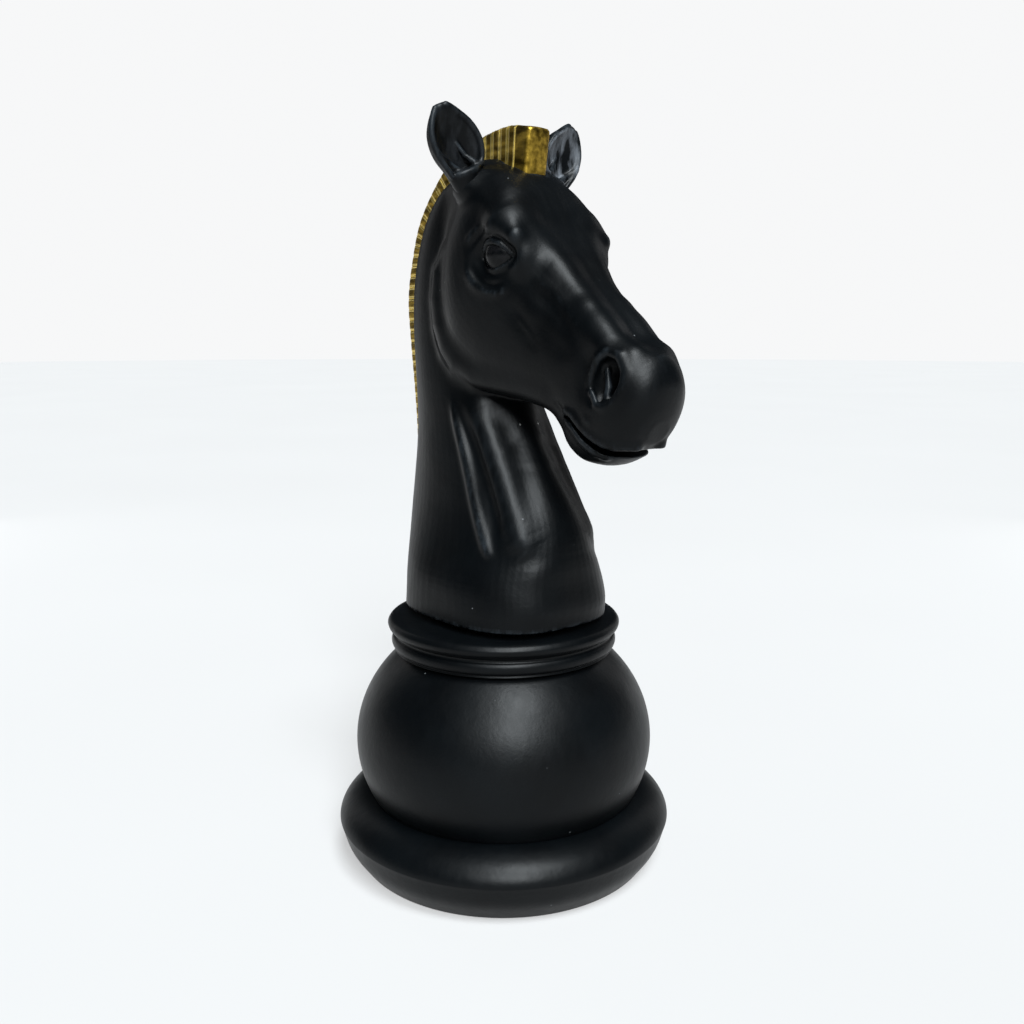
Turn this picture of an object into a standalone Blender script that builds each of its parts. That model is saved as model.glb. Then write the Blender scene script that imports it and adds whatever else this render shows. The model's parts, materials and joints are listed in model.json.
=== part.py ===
"""A giant chess knight: a turned plinth, ball and collar under a two-part horse bust with a gilt mane.

Metres, +Z up. The horse faces +X and its right side is -Y. The origin is the middle of the
underside, at floor level. One threaded rod on the Z axis clamps the whole stack together.
"""

import math

import bmesh
import bpy
from mathutils import Matrix, Vector

MM = 0.001

# Fits
GAP = 0.3 * MM  # between pieces that touch
LOOSE_GAP = 0.8 * MM  # round the sand and the foam
ROD_CLEARANCE = 0.5 * MM  # radial, round the tie rod
PIN_CLEARANCE = 0.3 * MM  # radial, round dowels, pins, screws and foot stems
THREAD_CLEARANCE = 0.3 * MM  # radial, plug thread to bush bore

# Plinth
BASE_DIAMETER = 230 * MM  # over the crisp edge
EDGE_HEIGHT = 28.5 * MM
FOOT_INSET = 14 * MM  # how far the lower wall leans in at the floor
PLINTH_TOP = 46 * MM
RIM_LIFT = 1.5 * MM  # the rubber feet hold the rim off the floor
PLINTH_WALL = 6 * MM
RIM_WIDTH = 7 * MM
LEDGE_WIDTH = 12 * MM
LEDGE_HEIGHT = 13 * MM
CAVITY_FLARE = 4 * MM  # how far the hollow widens above the ledge
SEAT_INSET = 2 * MM  # from the ball's seat to the corner of the hollow
BALL_SEAT_RADIUS = 92 * MM
BALL_MOUTH_RADIUS = 56 * MM

# Ball
BALL_DIAMETER = 204 * MM
BALL_CENTRE = 37 * MM  # above the plinth's top
BALL_HALF_HEIGHT = 86 * MM
BALL_HEIGHT = 101 * MM  # from the plinth's top to the collar
BALL_WALL = 7 * MM
SPIGOT_WALL = 3.7 * MM
BOSS_RADIUS = 40 * MM
BOSS_HEIGHT = 4 * MM

# Collar
COLLAR_DIAMETER = 158.8 * MM
COLLAR_HEIGHT = 22.3 * MM
COLLAR_WAIST = 4.6 * MM  # how far the grooves lie inside the rim
COLLAR_SHOULDER = 7.4 * MM  # rim to the flat that carries the bust
# the bead, the groove and the lip of the collar: share of its height, and millimetres out
# from the waist
COLLAR_BEAD = (
    (0.0, 0.0), (0.054, -0.3), (0.143, 1.2), (0.26, 1.9), (0.368, 1.2), (0.448, -0.4),
    (0.511, 0.2), (0.628, 3.2), (0.776, 4.6), (0.879, 3.8),
)

# Bust, over its widest places
BUST_LENGTH = 251 * MM  # crest to nose
BUST_WIDTH = 114 * MM
BUST_HEIGHT = 314 * MM  # seat to the top of the mane
BUST_WALL = 7 * MM
SHADOW_GAP = 4 * MM  # the undercut that parts the bust from the collar
SHADOW_DEPTH = 6 * MM
SEAM = 0.3 * MM  # between the two halves

# Face and crest
EYE_DIAMETER = 19 * MM
EAR_STUB_DIAMETER = 9 * MM
EAR_STUB_LENGTH = 9 * MM
EAR_LIP = 2.6 * MM
EAR_CUP_SHIFT = 6 * MM  # how far forward of the ear its hollow lies
EAR_CUP_LIFT = 5 * MM  # and how far above the root it starts
NOSTRIL_DEPTH = 15 * MM
MANE_WIDTH = 18 * MM
MANE_SINK = 4 * MM
NOTCH_PITCH = 7.6 * MM
NOTCH_DEPTH = 1.3 * MM
PIN_DIAMETER = 3.5 * MM
PIN_LENGTH = 12 * MM
DOWEL_DIAMETER = 3.4 * MM
DOWEL_LENGTH = 16 * MM

# Base hardware
PLATE_BOTTOM = 9 * MM
PLATE_THICKNESS = 5 * MM
CUP_RADIUS = 16 * MM
CUP_WALL = 4 * MM
CUP_DEPTH = 13 * MM
ROD_DIAMETER = 10 * MM
TUBE_WALL = 2.5 * MM
WASHER_DIAMETER = 24 * MM
WASHER_THICKNESS = 2 * MM
NUT_WIDTH = 17 * MM  # across the flats
NUT_HEIGHT = 8 * MM
ANCHOR_DIAMETER = 60 * MM
ANCHOR_THICKNESS = 5 * MM
FOOT_COUNT = 4
FOOT_DIAMETER = 20 * MM
FOOT_CIRCLE = 146 * MM
STEM_DIAMETER = 6 * MM
CAP_RADIUS = 20 * MM
CAP_SKIRT_WALL = 3 * MM
CAP_SKIRT_HEIGHT = 6 * MM
SCREW_COUNT = 6
SCREW_DIAMETER = 4 * MM
SCREW_HEAD_DIAMETER = 8 * MM
SCREW_HEAD_HEIGHT = 2.4 * MM
SCREW_LENGTH = 14 * MM
SCREW_SLOT = 1.2 * MM  # width, and depth
FILLER_OFFSET = 50 * MM  # behind the middle
BUSH_BORE = 22.6 * MM
BUSH_WALL = 3.5 * MM
BUSH_FLANGE = 3.5 * MM
FLANGE_THICKNESS = 1.7 * MM
BUSH_LENGTH = 14 * MM
RING_THICKNESS = 2 * MM
PLUG_HEAD_DIAMETER = 30 * MM
PLUG_HEAD_HEIGHT = 2.6 * MM
PLUG_LENGTH = 16 * MM
PLUG_CHAMFER = 0.8 * MM
COIN_SLOT_WIDTH = 2.4 * MM
COIN_SLOT_DEPTH = 1.5 * MM
THREAD_PITCH = 3 * MM
THREAD_DEPTH = 0.9 * MM

# Heights of the stack
BALL_BOTTOM = PLINTH_TOP + GAP
BALL_TOP = PLINTH_TOP + BALL_HEIGHT
COLLAR_BOTTOM = BALL_TOP + GAP
COLLAR_TOP = COLLAR_BOTTOM + COLLAR_HEIGHT
SEAT = COLLAR_TOP + GAP
PLATE_TOP = PLATE_BOTTOM + PLATE_THICKNESS
CUP_CEILING = PLATE_BOTTOM + CUP_DEPTH
BUST_FLOOR = SEAT + SHADOW_GAP + BUST_WALL
ROUND_STEPS = 32
RING_POINTS = 20  # round a section of the bust
CORE_POINTS = 14
EAR_POINTS = 12

# The bust's sections are drawn for a bust 251 long, 114 wide and 314 tall, in millimetres
# from the Z axis and the seat, and stretched to the driving sizes.
STRETCH = Vector((BUST_LENGTH / 251, BUST_WIDTH / 114, BUST_HEIGHT / 314)) / MM
# height, back, front, half width, squareness
NECK = (
    (4, -69, 69, 57, 2.7),
    (17, -69, 70, 57, 2.6),
    (32, -71, 68, 55, 2.5),
    (53, -79, 67, 47, 2.3),
    (70, -82, 62, 42, 2.2),
    (86, -81, 54, 39, 2.2),
    (110, -78, 39, 36, 2.2),
    (130, -77, 28, 34, 2.2),
    (160, -79, 14, 33, 2.2),
    (190, -82, 8, 32, 2.2),
    (220, -81, 6, 31, 2.2),
    (245, -74, 5, 30, 2.2),
    (265, -62, 5, 28, 2.2),
    (280, -46, 5, 25, 2.2),
    (291, -24, 8, 19, 2.2),
)
# jaw x and z, face x and z, half width, squareness
HEAD = (
    (-18, 272, 4, 293, 25, 2.2),
    (-30, 231, 26, 288, 37, 2.3),
    (-30, 211, 39, 279, 42, 2.4),
    (-28, 189, 49, 265, 44, 2.5),
    (-21, 172, 56, 251, 44, 2.5),
    (-9, 159, 67, 237, 41, 2.4),
    (6, 149, 80, 224, 36.5, 2.4),
    (34, 145, 96, 209, 32, 2.4),
    (57, 140, 110, 196, 28.5, 2.4),
    (69, 128, 121, 185, 26.5, 2.3),
    (76, 115, 131, 180, 27, 2.2),
    (92, 111, 141, 174, 27, 2.2),
    (109, 112, 145.5, 161.5, 23.5, 2.2),
    (124, 120, 144, 148, 16, 2.1),
    (132, 126, 141, 139, 8, 2.0),
)
BROW_PLACE = (43, 34, 242)
BROW_REACH = (17, 13, 13)
# the mane's outer and inner edges, from the back of the neck over the poll to the forehead
MANE_OUTER = (
    (-89, 76), (-88, 92), (-87.5, 119), (-90, 149), (-94, 183), (-96, 211), (-91, 236),
    (-79, 266), (-52, 295), (-30, 305), (-11, 311), (14, 314), (36, 311),
)
MANE_INNER = (
    (-86, 75), (-81.5, 92), (-78.5, 119), (-77.5, 149), (-80, 183), (-81.5, 211), (-78, 236),
    (-69, 259), (-44, 284), (-26, 292), (-11, 295), (13, 292), (32, 285),
)
EYE_PLACE = (37, 34.5, 233)
NOSTRIL_PLACE = (121, 27, 162)
NOSTRIL_SQUASH = (0.75, 0.5, 0.8)
MOUTH = (
    (160, 124), (146, 121.5), (116, 121.5), (94, 130), (83, 137),
    (93, 126), (116, 118.5), (146, 118), (160, 119),
)
EAR_ROOT = (4, 34.5, 277)
EAR_TIP = (3, 54.5, 324)
# share of the ear's length, half width, half depth
EAR = ((-0.1, 8, 8), (0.12, 12, 9), (0.4, 18.5, 9.5), (0.65, 17, 8), (0.87, 9.5, 5), (1, 1.5, 1.5))
MANE_PIN_STATIONS = (3, 6, 9)  # points of MANE_INNER
DOWEL_STATIONS = ((2, "back"), (3, "front"), (7, "front"))  # sections of NECK


def clear_scene():
    for item in list(bpy.data.objects):
        bpy.data.objects.remove(item, do_unlink=True)


def material(name, colour, roughness, metallic=0.0):
    made = bpy.data.materials.get(name) or bpy.data.materials.new(name)
    made.use_nodes = True
    shader = made.node_tree.nodes["Principled BSDF"]
    shader.inputs["Base Color"].default_value = (*colour, 1)
    shader.inputs["Roughness"].default_value = roughness
    shader.inputs["Metallic"].default_value = metallic
    return made


def black_paint():
    return material("black_paint", (0.028, 0.032, 0.038), 0.45)


def gold_paint():
    return material("gold_paint", (0.52, 0.36, 0.07), 0.35, 1.0)


def eye_gloss():
    return material("eye_gloss", (0.012, 0.014, 0.018), 0.15)


def zinc():
    return material("zinc", (0.55, 0.56, 0.58), 0.4, 1.0)


def rubber():
    return material("rubber", (0.02, 0.02, 0.02), 0.85)


def plate_plastic():
    return material("plate_plastic", (0.06, 0.06, 0.065), 0.6)


def sand():
    return material("sand", (0.55, 0.44, 0.28), 0.95)


def foam():
    return material("foam", (0.82, 0.74, 0.5), 0.9)


def add_object(name, shape, finish, location=(0, 0, 0)):
    """A bmesh made into a named object, smooth where its faces meet at a shallow angle."""
    bmesh.ops.recalc_face_normals(shape, faces=shape.faces)
    mesh = bpy.data.meshes.new(name)
    shape.to_mesh(mesh)
    shape.free()
    mesh.shade_smooth()
    mesh.set_sharp_from_angle(angle=math.radians(35))
    if finish:
        mesh.materials.append(finish)
    made = bpy.data.objects.new(name, mesh)
    made.location = location
    bpy.context.collection.objects.link(made)
    return made


def turned(outline, steps=ROUND_STEPS):
    """A closed (radius, height) outline turned round the Z axis, with flats facing +X and +Y."""
    shape = bmesh.new()
    corners = [shape.verts.new((radius, 0, height)) for radius, height in outline]
    edges = [shape.edges.new((corners[i - 1], corners[i])) for i in range(len(corners))]
    bmesh.ops.spin(
        shape, geom=corners + edges, cent=(0, 0, 0), axis=(0, 0, 1),
        angle=2 * math.pi, steps=steps, use_merge=True,
    )
    bmesh.ops.remove_doubles(shape, verts=shape.verts, dist=1e-6)
    half_step = Matrix.Rotation(math.pi / steps, 4, "Z")
    bmesh.ops.transform(shape, matrix=half_step, verts=shape.verts)
    return shape


def cylinder(radius, bottom, top, steps=16):
    return turned([(0, bottom), (radius, bottom), (radius, top), (0, top)], steps)


def rod_between(start, end, radius, steps=12):
    """A plain round pin from start to end."""
    start, end = Vector(start), Vector(end)
    shape = cylinder(radius, 0, (end - start).length, steps)
    turn = Vector((0, 0, 1)).rotation_difference(end - start).to_matrix().to_4x4()
    bmesh.ops.transform(shape, matrix=Matrix.Translation(start) @ turn, verts=shape.verts)
    return shape


def ball_at(centre, radius, squash=(1, 1, 1)):
    shape = bmesh.new()
    bmesh.ops.create_uvsphere(shape, u_segments=14, v_segments=8, radius=radius)
    bmesh.ops.scale(shape, vec=squash, verts=shape.verts)
    bmesh.ops.translate(shape, vec=Vector(centre), verts=shape.verts)
    return shape


def lofted(rings):
    """Rings with equal numbers of points, joined in turn and capped."""
    shape = bmesh.new()
    loops = [[shape.verts.new(point) for point in ring] for ring in rings]
    count = len(loops[0])
    for lower, upper in zip(loops, loops[1:]):
        for i in range(count):
            a, b, c, d = lower[i], lower[(i + 1) % count], upper[(i + 1) % count], upper[i]
            if a.co.y + b.co.y > 0:  # the same split on both sides, so that mirrored halves fit
                a, b, c, d = b, a, d, c
            shape.faces.new((a, b, c))
            shape.faces.new((a, c, d))
    shape.faces.new(loops[0])
    shape.faces.new(loops[-1])
    return shape


def slab(outline, half_thickness):
    """An (x, z) outline given thickness along Y."""
    shape = bmesh.new()
    face = shape.faces.new([shape.verts.new((x, -half_thickness, z)) for x, z in outline])
    raised = bmesh.ops.extrude_face_region(shape, geom=[face])["geom"]
    corners = [item for item in raised if isinstance(item, bmesh.types.BMVert)]
    bmesh.ops.translate(shape, vec=(0, 2 * half_thickness, 0), verts=corners)
    return shape


def bake(target):
    """The object's modifiers made permanent."""
    bpy.context.view_layer.update()
    seen = target.evaluated_get(bpy.context.evaluated_depsgraph_get())
    mesh = bpy.data.meshes.new_from_object(seen)
    target.modifiers.clear()
    target.data = mesh


def combine(target, shapes, operation="DIFFERENCE"):
    """Cuts, joins or intersects the target with each shape, for good."""
    for shape in shapes:
        tool = add_object("tool", shape, None)
        tool.hide_render = True
        tool.display_type = "WIRE"
        cut = target.modifiers.new("cut", "BOOLEAN")
        cut.operation = operation
        cut.solver = "EXACT"
        cut.object = tool
        bake(target)
        bpy.data.objects.remove(tool, do_unlink=True)
    target.data.shade_smooth()
    target.data.set_sharp_from_angle(angle=math.radians(35))
    return target


def around(count, circle, start=0.0):
    """Places evenly spaced on a circle of this diameter."""
    for i in range(count):
        angle = start + 2 * math.pi * i / count
        yield Vector((circle / 2 * math.cos(angle), circle / 2 * math.sin(angle), 0))


def moved(shape, place):
    bmesh.ops.translate(shape, vec=Vector(place), verts=shape.verts)
    return shape


# --- turned body -------------------------------------------------------------------------


def plinth_outside():
    """From the ball's seat over the rolled top and the crisp edge down to the rim."""
    edge = BASE_DIAMETER / 2
    rise = PLINTH_TOP - EDGE_HEIGHT
    points = []
    for i in range(6):
        angle = math.pi / 2 * (1 - i / 5)
        reach = (edge - BALL_SEAT_RADIUS) * math.cos(angle) ** 0.9
        points.append((BALL_SEAT_RADIUS + reach, EDGE_HEIGHT + rise * math.sin(angle) ** 0.9))
    points.append((edge - 0.8 * MM, EDGE_HEIGHT - 2.4 * MM))
    points.append((edge - 0.3 * FOOT_INSET, EDGE_HEIGHT * 0.5))
    points.append((edge - FOOT_INSET, RIM_LIFT))
    return points


def rim_inner():
    return BASE_DIAMETER / 2 - FOOT_INSET - RIM_WIDTH


def screw_circle():
    return 2 * (rim_inner() - LEDGE_WIDTH / 2)


def plinth_shell():
    ledge = PLATE_TOP + GAP
    inside = [
        (rim_inner(), RIM_LIFT),
        (rim_inner(), ledge),
        (rim_inner() - LEDGE_WIDTH, ledge),
        (rim_inner() - LEDGE_WIDTH, ledge + LEDGE_HEIGHT),
        (rim_inner() + CAVITY_FLARE, PLINTH_TOP - 2 * PLINTH_WALL),
        (BALL_SEAT_RADIUS - SEAT_INSET, PLINTH_TOP - PLINTH_WALL),
        (BALL_MOUTH_RADIUS + SPIGOT_WALL + GAP, PLINTH_TOP - PLINTH_WALL),
        (BALL_MOUTH_RADIUS + SPIGOT_WALL + GAP, PLINTH_TOP),
    ]
    shell = add_object("plinth_shell", turned(plinth_outside() + inside), black_paint())
    pilots = [
        moved(
            cylinder(SCREW_DIAMETER / 2 + PIN_CLEARANCE, PLATE_BOTTOM, screw_tip() + 2 * MM, 10),
            place,
        )
        for place in around(SCREW_COUNT, screw_circle())
    ]
    return combine(shell, pilots)


def ball_radius(height, inset=0.0):
    """The ball's radius at this height above the floor."""
    rise = (height - PLINTH_TOP - BALL_CENTRE) / (BALL_HALF_HEIGHT - inset)
    return (BALL_DIAMETER / 2 - inset) * math.sqrt(max(0.0, 1 - rise**2))


def arc_heights(bottom, top, count):
    return [bottom + (top - bottom) * (1 - math.cos(math.pi * i / count)) / 2 for i in range(count + 1)]


def ball_shell():
    heights = arc_heights(BALL_BOTTOM, BALL_TOP, 8)
    outside = [(ball_radius(height), height) for height in reversed(heights)]
    spigot = BALL_MOUTH_RADIUS + SPIGOT_WALL
    rod = ROD_DIAMETER / 2 + ROD_CLEARANCE
    floor, ceiling = BALL_BOTTOM + BALL_WALL, BALL_TOP - BALL_WALL
    inside = [(ball_radius(height, BALL_WALL), height) for height in arc_heights(floor, ceiling, 5)]
    outline = (
        outside
        + [(spigot, BALL_BOTTOM), (spigot, BALL_BOTTOM - PLINTH_WALL)]
        + [(BALL_MOUTH_RADIUS, BALL_BOTTOM - PLINTH_WALL), (BALL_MOUTH_RADIUS, floor)]
        + inside
        + [(rod, ceiling), (rod, BALL_TOP + BOSS_HEIGHT)]
        + [(BOSS_RADIUS, BALL_TOP + BOSS_HEIGHT), (BOSS_RADIUS, BALL_TOP)]
    )
    return add_object("ball_shell", turned(outline), black_paint())


def collar_ring():
    rim = COLLAR_DIAMETER / 2
    waist = rim - COLLAR_WAIST
    outside = [(waist + out * MM, COLLAR_BOTTOM + up * COLLAR_HEIGHT) for up, out in COLLAR_BEAD]
    flat = rim - COLLAR_SHOULDER
    rod = ROD_DIAMETER / 2 + ROD_CLEARANCE
    pocket = BOSS_RADIUS + GAP
    pocket_top = BALL_TOP + BOSS_HEIGHT + GAP
    outline = (
        [(rod, COLLAR_TOP), (flat - 2 * MM, COLLAR_TOP), (flat, COLLAR_TOP - 0.6 * MM)]
        + outside[::-1]
        + [(pocket, COLLAR_BOTTOM), (pocket, pocket_top), (rod, pocket_top)]
    )
    return add_object("collar_ring", turned(outline), black_paint())


# --- bust --------------------------------------------------------------------------------


def placed(x, y, z):
    """A point of the drawn bust, in millimetres above its seat, at its real place."""
    return Vector((x * STRETCH.x * MM, y * STRETCH.y * MM, SEAT + z * STRETCH.z * MM))


def section(start, end, half_width, power, inset, count):
    """A rounded oval whose long way runs from start to end and whose short way is Y."""
    centre, half = (start + end) / 2, (end - start) / 2
    along, across = half.normalized(), Vector((0, 1, 0))
    long_side, short_side = half.length - inset, half_width - inset
    ring = []
    for i in range(count):
        angle = 2 * math.pi * i / count
        reach = [math.copysign(abs(part) ** (2 / power), part) for part in (math.cos(angle), math.sin(angle))]
        ring.append(centre + along * long_side * reach[0] + across * short_side * reach[1])
    return ring


def neck_ring(station, inset=0.0, count=RING_POINTS):
    height, back, front, half_width, power = station
    return section(
        placed(back, 0, height), placed(front, 0, height), half_width * STRETCH.y * MM, power, inset, count
    )


def head_ring(station, inset=0.0, count=RING_POINTS):
    jaw_x, jaw_z, face_x, face_z, half_width, power = station
    return section(
        placed(jaw_x, 0, jaw_z), placed(face_x, 0, face_z), half_width * STRETCH.y * MM, power, inset, count
    )


def shifted(ring, height):
    return [Vector((point.x, point.y, height)) for point in ring]


def bust_outside(swell=0.0):
    """The neck and the head as one solid, swollen by this much."""
    neck = [neck_ring(station, -swell) for station in NECK]
    foot = shifted(neck_ring(NECK[0], SHADOW_DEPTH - swell), SEAT)
    step = shifted(foot, SEAT + SHADOW_GAP)
    neck[0] = shifted(neck[0], SEAT + SHADOW_GAP)
    body = add_object("bust", lofted([foot, step] + neck), black_paint())
    head = [lofted([head_ring(station, -swell) for station in HEAD])]
    x, y, z = BROW_PLACE
    for side in (-1, 1):
        stretched = [reach * STRETCH[i] + swell / MM for i, reach in enumerate(BROW_REACH)]
        head.append(ball_at(placed(x, side * y, z), MM, stretched))
    return combine(body, head, "UNION")


def middle(ring):
    return sum(ring, Vector()) / len(ring)


def drawn_in(rings, distance):
    """The rings with the last one moved towards the one before it."""
    back = (middle(rings[-2]) - middle(rings[-1])).normalized() * distance
    return rings[:-1] + [[point + back for point in rings[-1]]]


def bust_inside(name, clearance, floor, finish):
    """What fills the bust inside its wall: the neck, and the head as far as the bars of the jaw."""
    inset = BUST_WALL + clearance
    neck = [neck_ring(station, inset, CORE_POINTS) for station in NECK[1:-1]]
    neck = [shifted(neck[0], floor)] + [ring for ring in neck if ring[0].z > floor + 4 * MM]
    head = [head_ring(station, inset, CORE_POINTS) for station in HEAD[1:9]]
    head = drawn_in(drawn_in(head[::-1], clearance)[::-1], clearance)
    core = add_object(name, lofted(drawn_in(neck, clearance)), finish)
    return combine(core, [lofted(head)], "UNION")


def smooth_path(points, steps=3):
    """A curve through the points, with this many steps between each two."""
    points = [Vector(point) for point in points]
    ends = [2 * points[0] - points[1]] + points + [2 * points[-1] - points[-2]]
    path = []
    for before, start, end, after in zip(ends, ends[1:], ends[2:], ends[3:]):
        for i in range(steps):
            t = i / steps
            path.append(
                0.5 * (2 * start + (end - before) * t + (2 * before - 5 * start + 4 * end - after) * t**2
                       + (3 * start - before - 3 * end + after) * t**3)
            )
    return path + [points[-1]]


def crest_edge(points):
    return smooth_path([(x * STRETCH.x * MM, SEAT + z * STRETCH.z * MM) for x, z in points])


def offset(path, distance):
    """The path moved to its right, which is into the neck."""
    moved_path = []
    for i, point in enumerate(path):
        run = (path[min(i + 1, len(path) - 1)] - path[max(i - 1, 0)]).normalized()
        moved_path.append(point + Vector((run.y, -run.x)) * distance)
    return moved_path


def notched(path):
    """The mane's outer edge, with a small V cut into it at every step of the pitch."""
    result, travelled, wanted = [path[0]], 0.0, NOTCH_PITCH
    for start, end in zip(path, path[1:]):
        run = end - start
        while wanted < travelled + run.length:
            middle = start + run.normalized() * (wanted - travelled)
            side = run.normalized() * NOTCH_DEPTH
            inward = Vector((run.normalized().y, -run.normalized().x)) * NOTCH_DEPTH
            result += [middle - side, middle + inward, middle + side]
            wanted += NOTCH_PITCH
        travelled += run.length
        if (end - result[-1]).length > 2 * NOTCH_DEPTH and wanted - travelled > 2 * NOTCH_DEPTH:
            result.append(end)
    return result if (path[-1] - result[-1]).length < NOTCH_DEPTH else result + [path[-1]]


def mane_pins():
    """Each pin's two ends, on the middle plane, square to the bottom of the mane's channel."""
    channel = offset(crest_edge(MANE_INNER), MANE_SINK)
    for station in MANE_PIN_STATIONS:
        i = 3 * station
        run = (channel[i + 1] - channel[i - 1]).normalized()
        inward = Vector((run.y, -run.x)) * PIN_LENGTH / 2
        low, high = channel[i] + inward, channel[i] - inward
        yield Vector((low.x, 0, low.y)), Vector((high.x, 0, high.y))


def mane_crest():
    outer = notched(crest_edge(MANE_OUTER))
    inner = offset(crest_edge(MANE_INNER), MANE_SINK)
    crest = add_object("mane_crest", slab(outer + inner[::-1], MANE_WIDTH / 2), gold_paint())
    radius = PIN_DIAMETER / 2 + PIN_CLEARANCE
    holes = []
    for low, high in mane_pins():
        holes.append(rod_between(low, high + (high - low).normalized() * GAP, radius))
    return combine(crest, holes)


def mane_channel():
    """The groove along the bust's crest that takes the mane."""
    floor = offset(crest_edge(MANE_INNER), MANE_SINK + GAP)
    clear = offset(crest_edge(MANE_OUTER), -6 * MM)
    first, last = (floor[1] - floor[0]).normalized(), (floor[-1] - floor[-2]).normalized()
    floor = [floor[0] - first * GAP] + floor[1:-1] + [floor[-1] + last * GAP]
    clear = [clear[0] - first * 3 * GAP] + clear[1:-1] + [clear[-1] + last * 3 * GAP]
    return slab(clear + floor[::-1], MANE_WIDTH / 2 + GAP)


def dowels():
    """Each dowel's middle: it lies along Y, half way through the neck's wall."""
    for index, side in DOWEL_STATIONS:
        height, back, front = NECK[index][:3]
        edge, inward = (back, 1) if side == "back" else (front, -1)
        point = placed(edge, 0, height)
        point.x += inward * BUST_WALL / 2
        yield point


def ear_axis(side):
    root = placed(EAR_ROOT[0], side * EAR_ROOT[1], EAR_ROOT[2])
    tip = placed(EAR_TIP[0], side * EAR_TIP[1], EAR_TIP[2])
    return root, tip


def ear_loft(side, shrink=0.0, forward=0.0):
    root, tip = ear_axis(side)
    along = (tip - root).normalized()
    out = (Vector((0, side, 0)) - along * along.dot(Vector((0, side, 0)))).normalized()
    ahead = out.cross(along) * side
    rings = []
    for share, width, depth in EAR:
        centre = root + (tip - root) * share + ahead * forward
        width = max(width * STRETCH.y * MM - shrink, 0.8 * MM)
        depth = max(depth * STRETCH.x * MM - shrink, 0.8 * MM)
        angles = [2 * math.pi * i / EAR_POINTS for i in range(EAR_POINTS)]
        rings.append([
            centre + out * width * math.cos(angle) + ahead * depth * math.sin(angle)
            for angle in angles
        ])
    return lofted(rings[:-1] if shrink else rings)


def stub_ends(side):
    """The ear's round stub, from inside the ear to inside the bust."""
    root, tip = ear_axis(side)
    along = (tip - root).normalized()
    return root - along * EAR_STUB_LENGTH, root + along * 4 * MM


def ear(name, side, skull):
    """A cupped ear on a round stub, bedded on the bust with a gap all round."""
    made = add_object(name, ear_loft(side), black_paint())
    cup = moved(ear_loft(side, EAR_LIP, EAR_CUP_SHIFT), (0, 0, EAR_CUP_LIFT))
    combine(made, [cup])
    trim = made.modifiers.new("trim", "BOOLEAN")
    trim.operation = "DIFFERENCE"
    trim.object = skull
    bake(made)
    inner, outer = stub_ends(side)
    return combine(made, [rod_between(inner, outer, EAR_STUB_DIAMETER / 2, 12)], "UNION")


def eye(name, side):
    x, y, z = EYE_PLACE
    return add_object(name, ball_at(placed(x, side * y, z), EYE_DIAMETER / 2), eye_gloss())


def insert_cutters():
    """Everything that is let into the bust, swollen by its clearance."""
    cutters = []
    for side in (-1, 1):
        x, y, z = EYE_PLACE
        cutters.append(ball_at(placed(x, side * y, z), EYE_DIAMETER / 2 + GAP))
        inner, outer = stub_ends(side)
        deeper = inner - (outer - inner).normalized() * GAP
        cutters.append(rod_between(deeper, outer, EAR_STUB_DIAMETER / 2 + PIN_CLEARANCE))
    for low, high in mane_pins():
        deeper = low + (low - high).normalized() * GAP
        cutters.append(rod_between(deeper, high, PIN_DIAMETER / 2 + PIN_CLEARANCE))
    reach = Vector((0, DOWEL_LENGTH / 2 + GAP, 0))
    for middle in dowels():
        cutters.append(rod_between(middle - reach, middle + reach, DOWEL_DIAMETER / 2 + PIN_CLEARANCE))
    return cutters


def mouth_slit():
    """The parted lips: a thin wedge that runs back from the front of the muzzle."""
    corners = [placed(x, 0, z) for x, z in MOUTH]
    return slab([(corner.x, corner.z) for corner in corners], BUST_WIDTH)


def nostrils():
    for side in (-1, 1):
        x, y, z = NOSTRIL_PLACE
        yield ball_at(placed(x, side * y, z), NOSTRIL_DEPTH, NOSTRIL_SQUASH)


def anchor_pocket():
    """Room for the anchor plate, the upper nut and the rod's end."""
    plate_top = BUST_FLOOR + GAP + ANCHOR_THICKNESS
    nut_top = plate_top + GAP + NUT_HEIGHT
    rod_top = tie_rod_top() + GAP
    wide = ANCHOR_DIAMETER / 2 + GAP
    nut = NUT_WIDTH / math.sqrt(3) + GAP
    rod = ROD_DIAMETER / 2 + ROD_CLEARANCE
    return turned([
        (0, SEAT), (wide, SEAT), (wide, plate_top), (nut, plate_top),
        (nut, nut_top + GAP), (rod, nut_top + GAP), (rod, rod_top), (0, rod_top),
    ], 20)


def tie_rod_top():
    return BUST_FLOOR + 2 * GAP + ANCHOR_THICKNESS + NUT_HEIGHT + 6 * MM


def bust_halves():
    blank = bust_outside()
    hollow = bust_inside("hollow", 0.0, BUST_FLOOR, None)
    cut = blank.modifiers.new("hollow", "BOOLEAN")
    cut.operation = "DIFFERENCE"
    cut.object = hollow
    bake(blank)
    bpy.data.objects.remove(hollow, do_unlink=True)
    rod_hole = cylinder(ROD_DIAMETER / 2 + ROD_CLEARANCE, SEAT - MM, BUST_FLOOR + MM)
    combine(blank, insert_cutters() + [mane_channel(), mouth_slit(), rod_hole] + list(nostrils()))
    keep = bmesh.new()
    bmesh.ops.create_cube(keep, size=1.0)
    moved(keep, (0, 0.5 + SEAM / 2, 0.5))
    left = combine(blank, [keep], "INTERSECT")
    left.name = "bust_left_half"
    mirror = bmesh.new()
    mirror.from_mesh(left.data)
    bmesh.ops.scale(mirror, vec=(1, -1, 1), verts=mirror.verts)
    bmesh.ops.reverse_faces(mirror, faces=mirror.faces)
    return left, add_object("bust_right_half", mirror, black_paint())


def bust_core():
    core = bust_inside("bust_core", LOOSE_GAP, BUST_FLOOR + GAP, foam())
    return combine(core, insert_cutters() + [anchor_pocket()])


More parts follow.
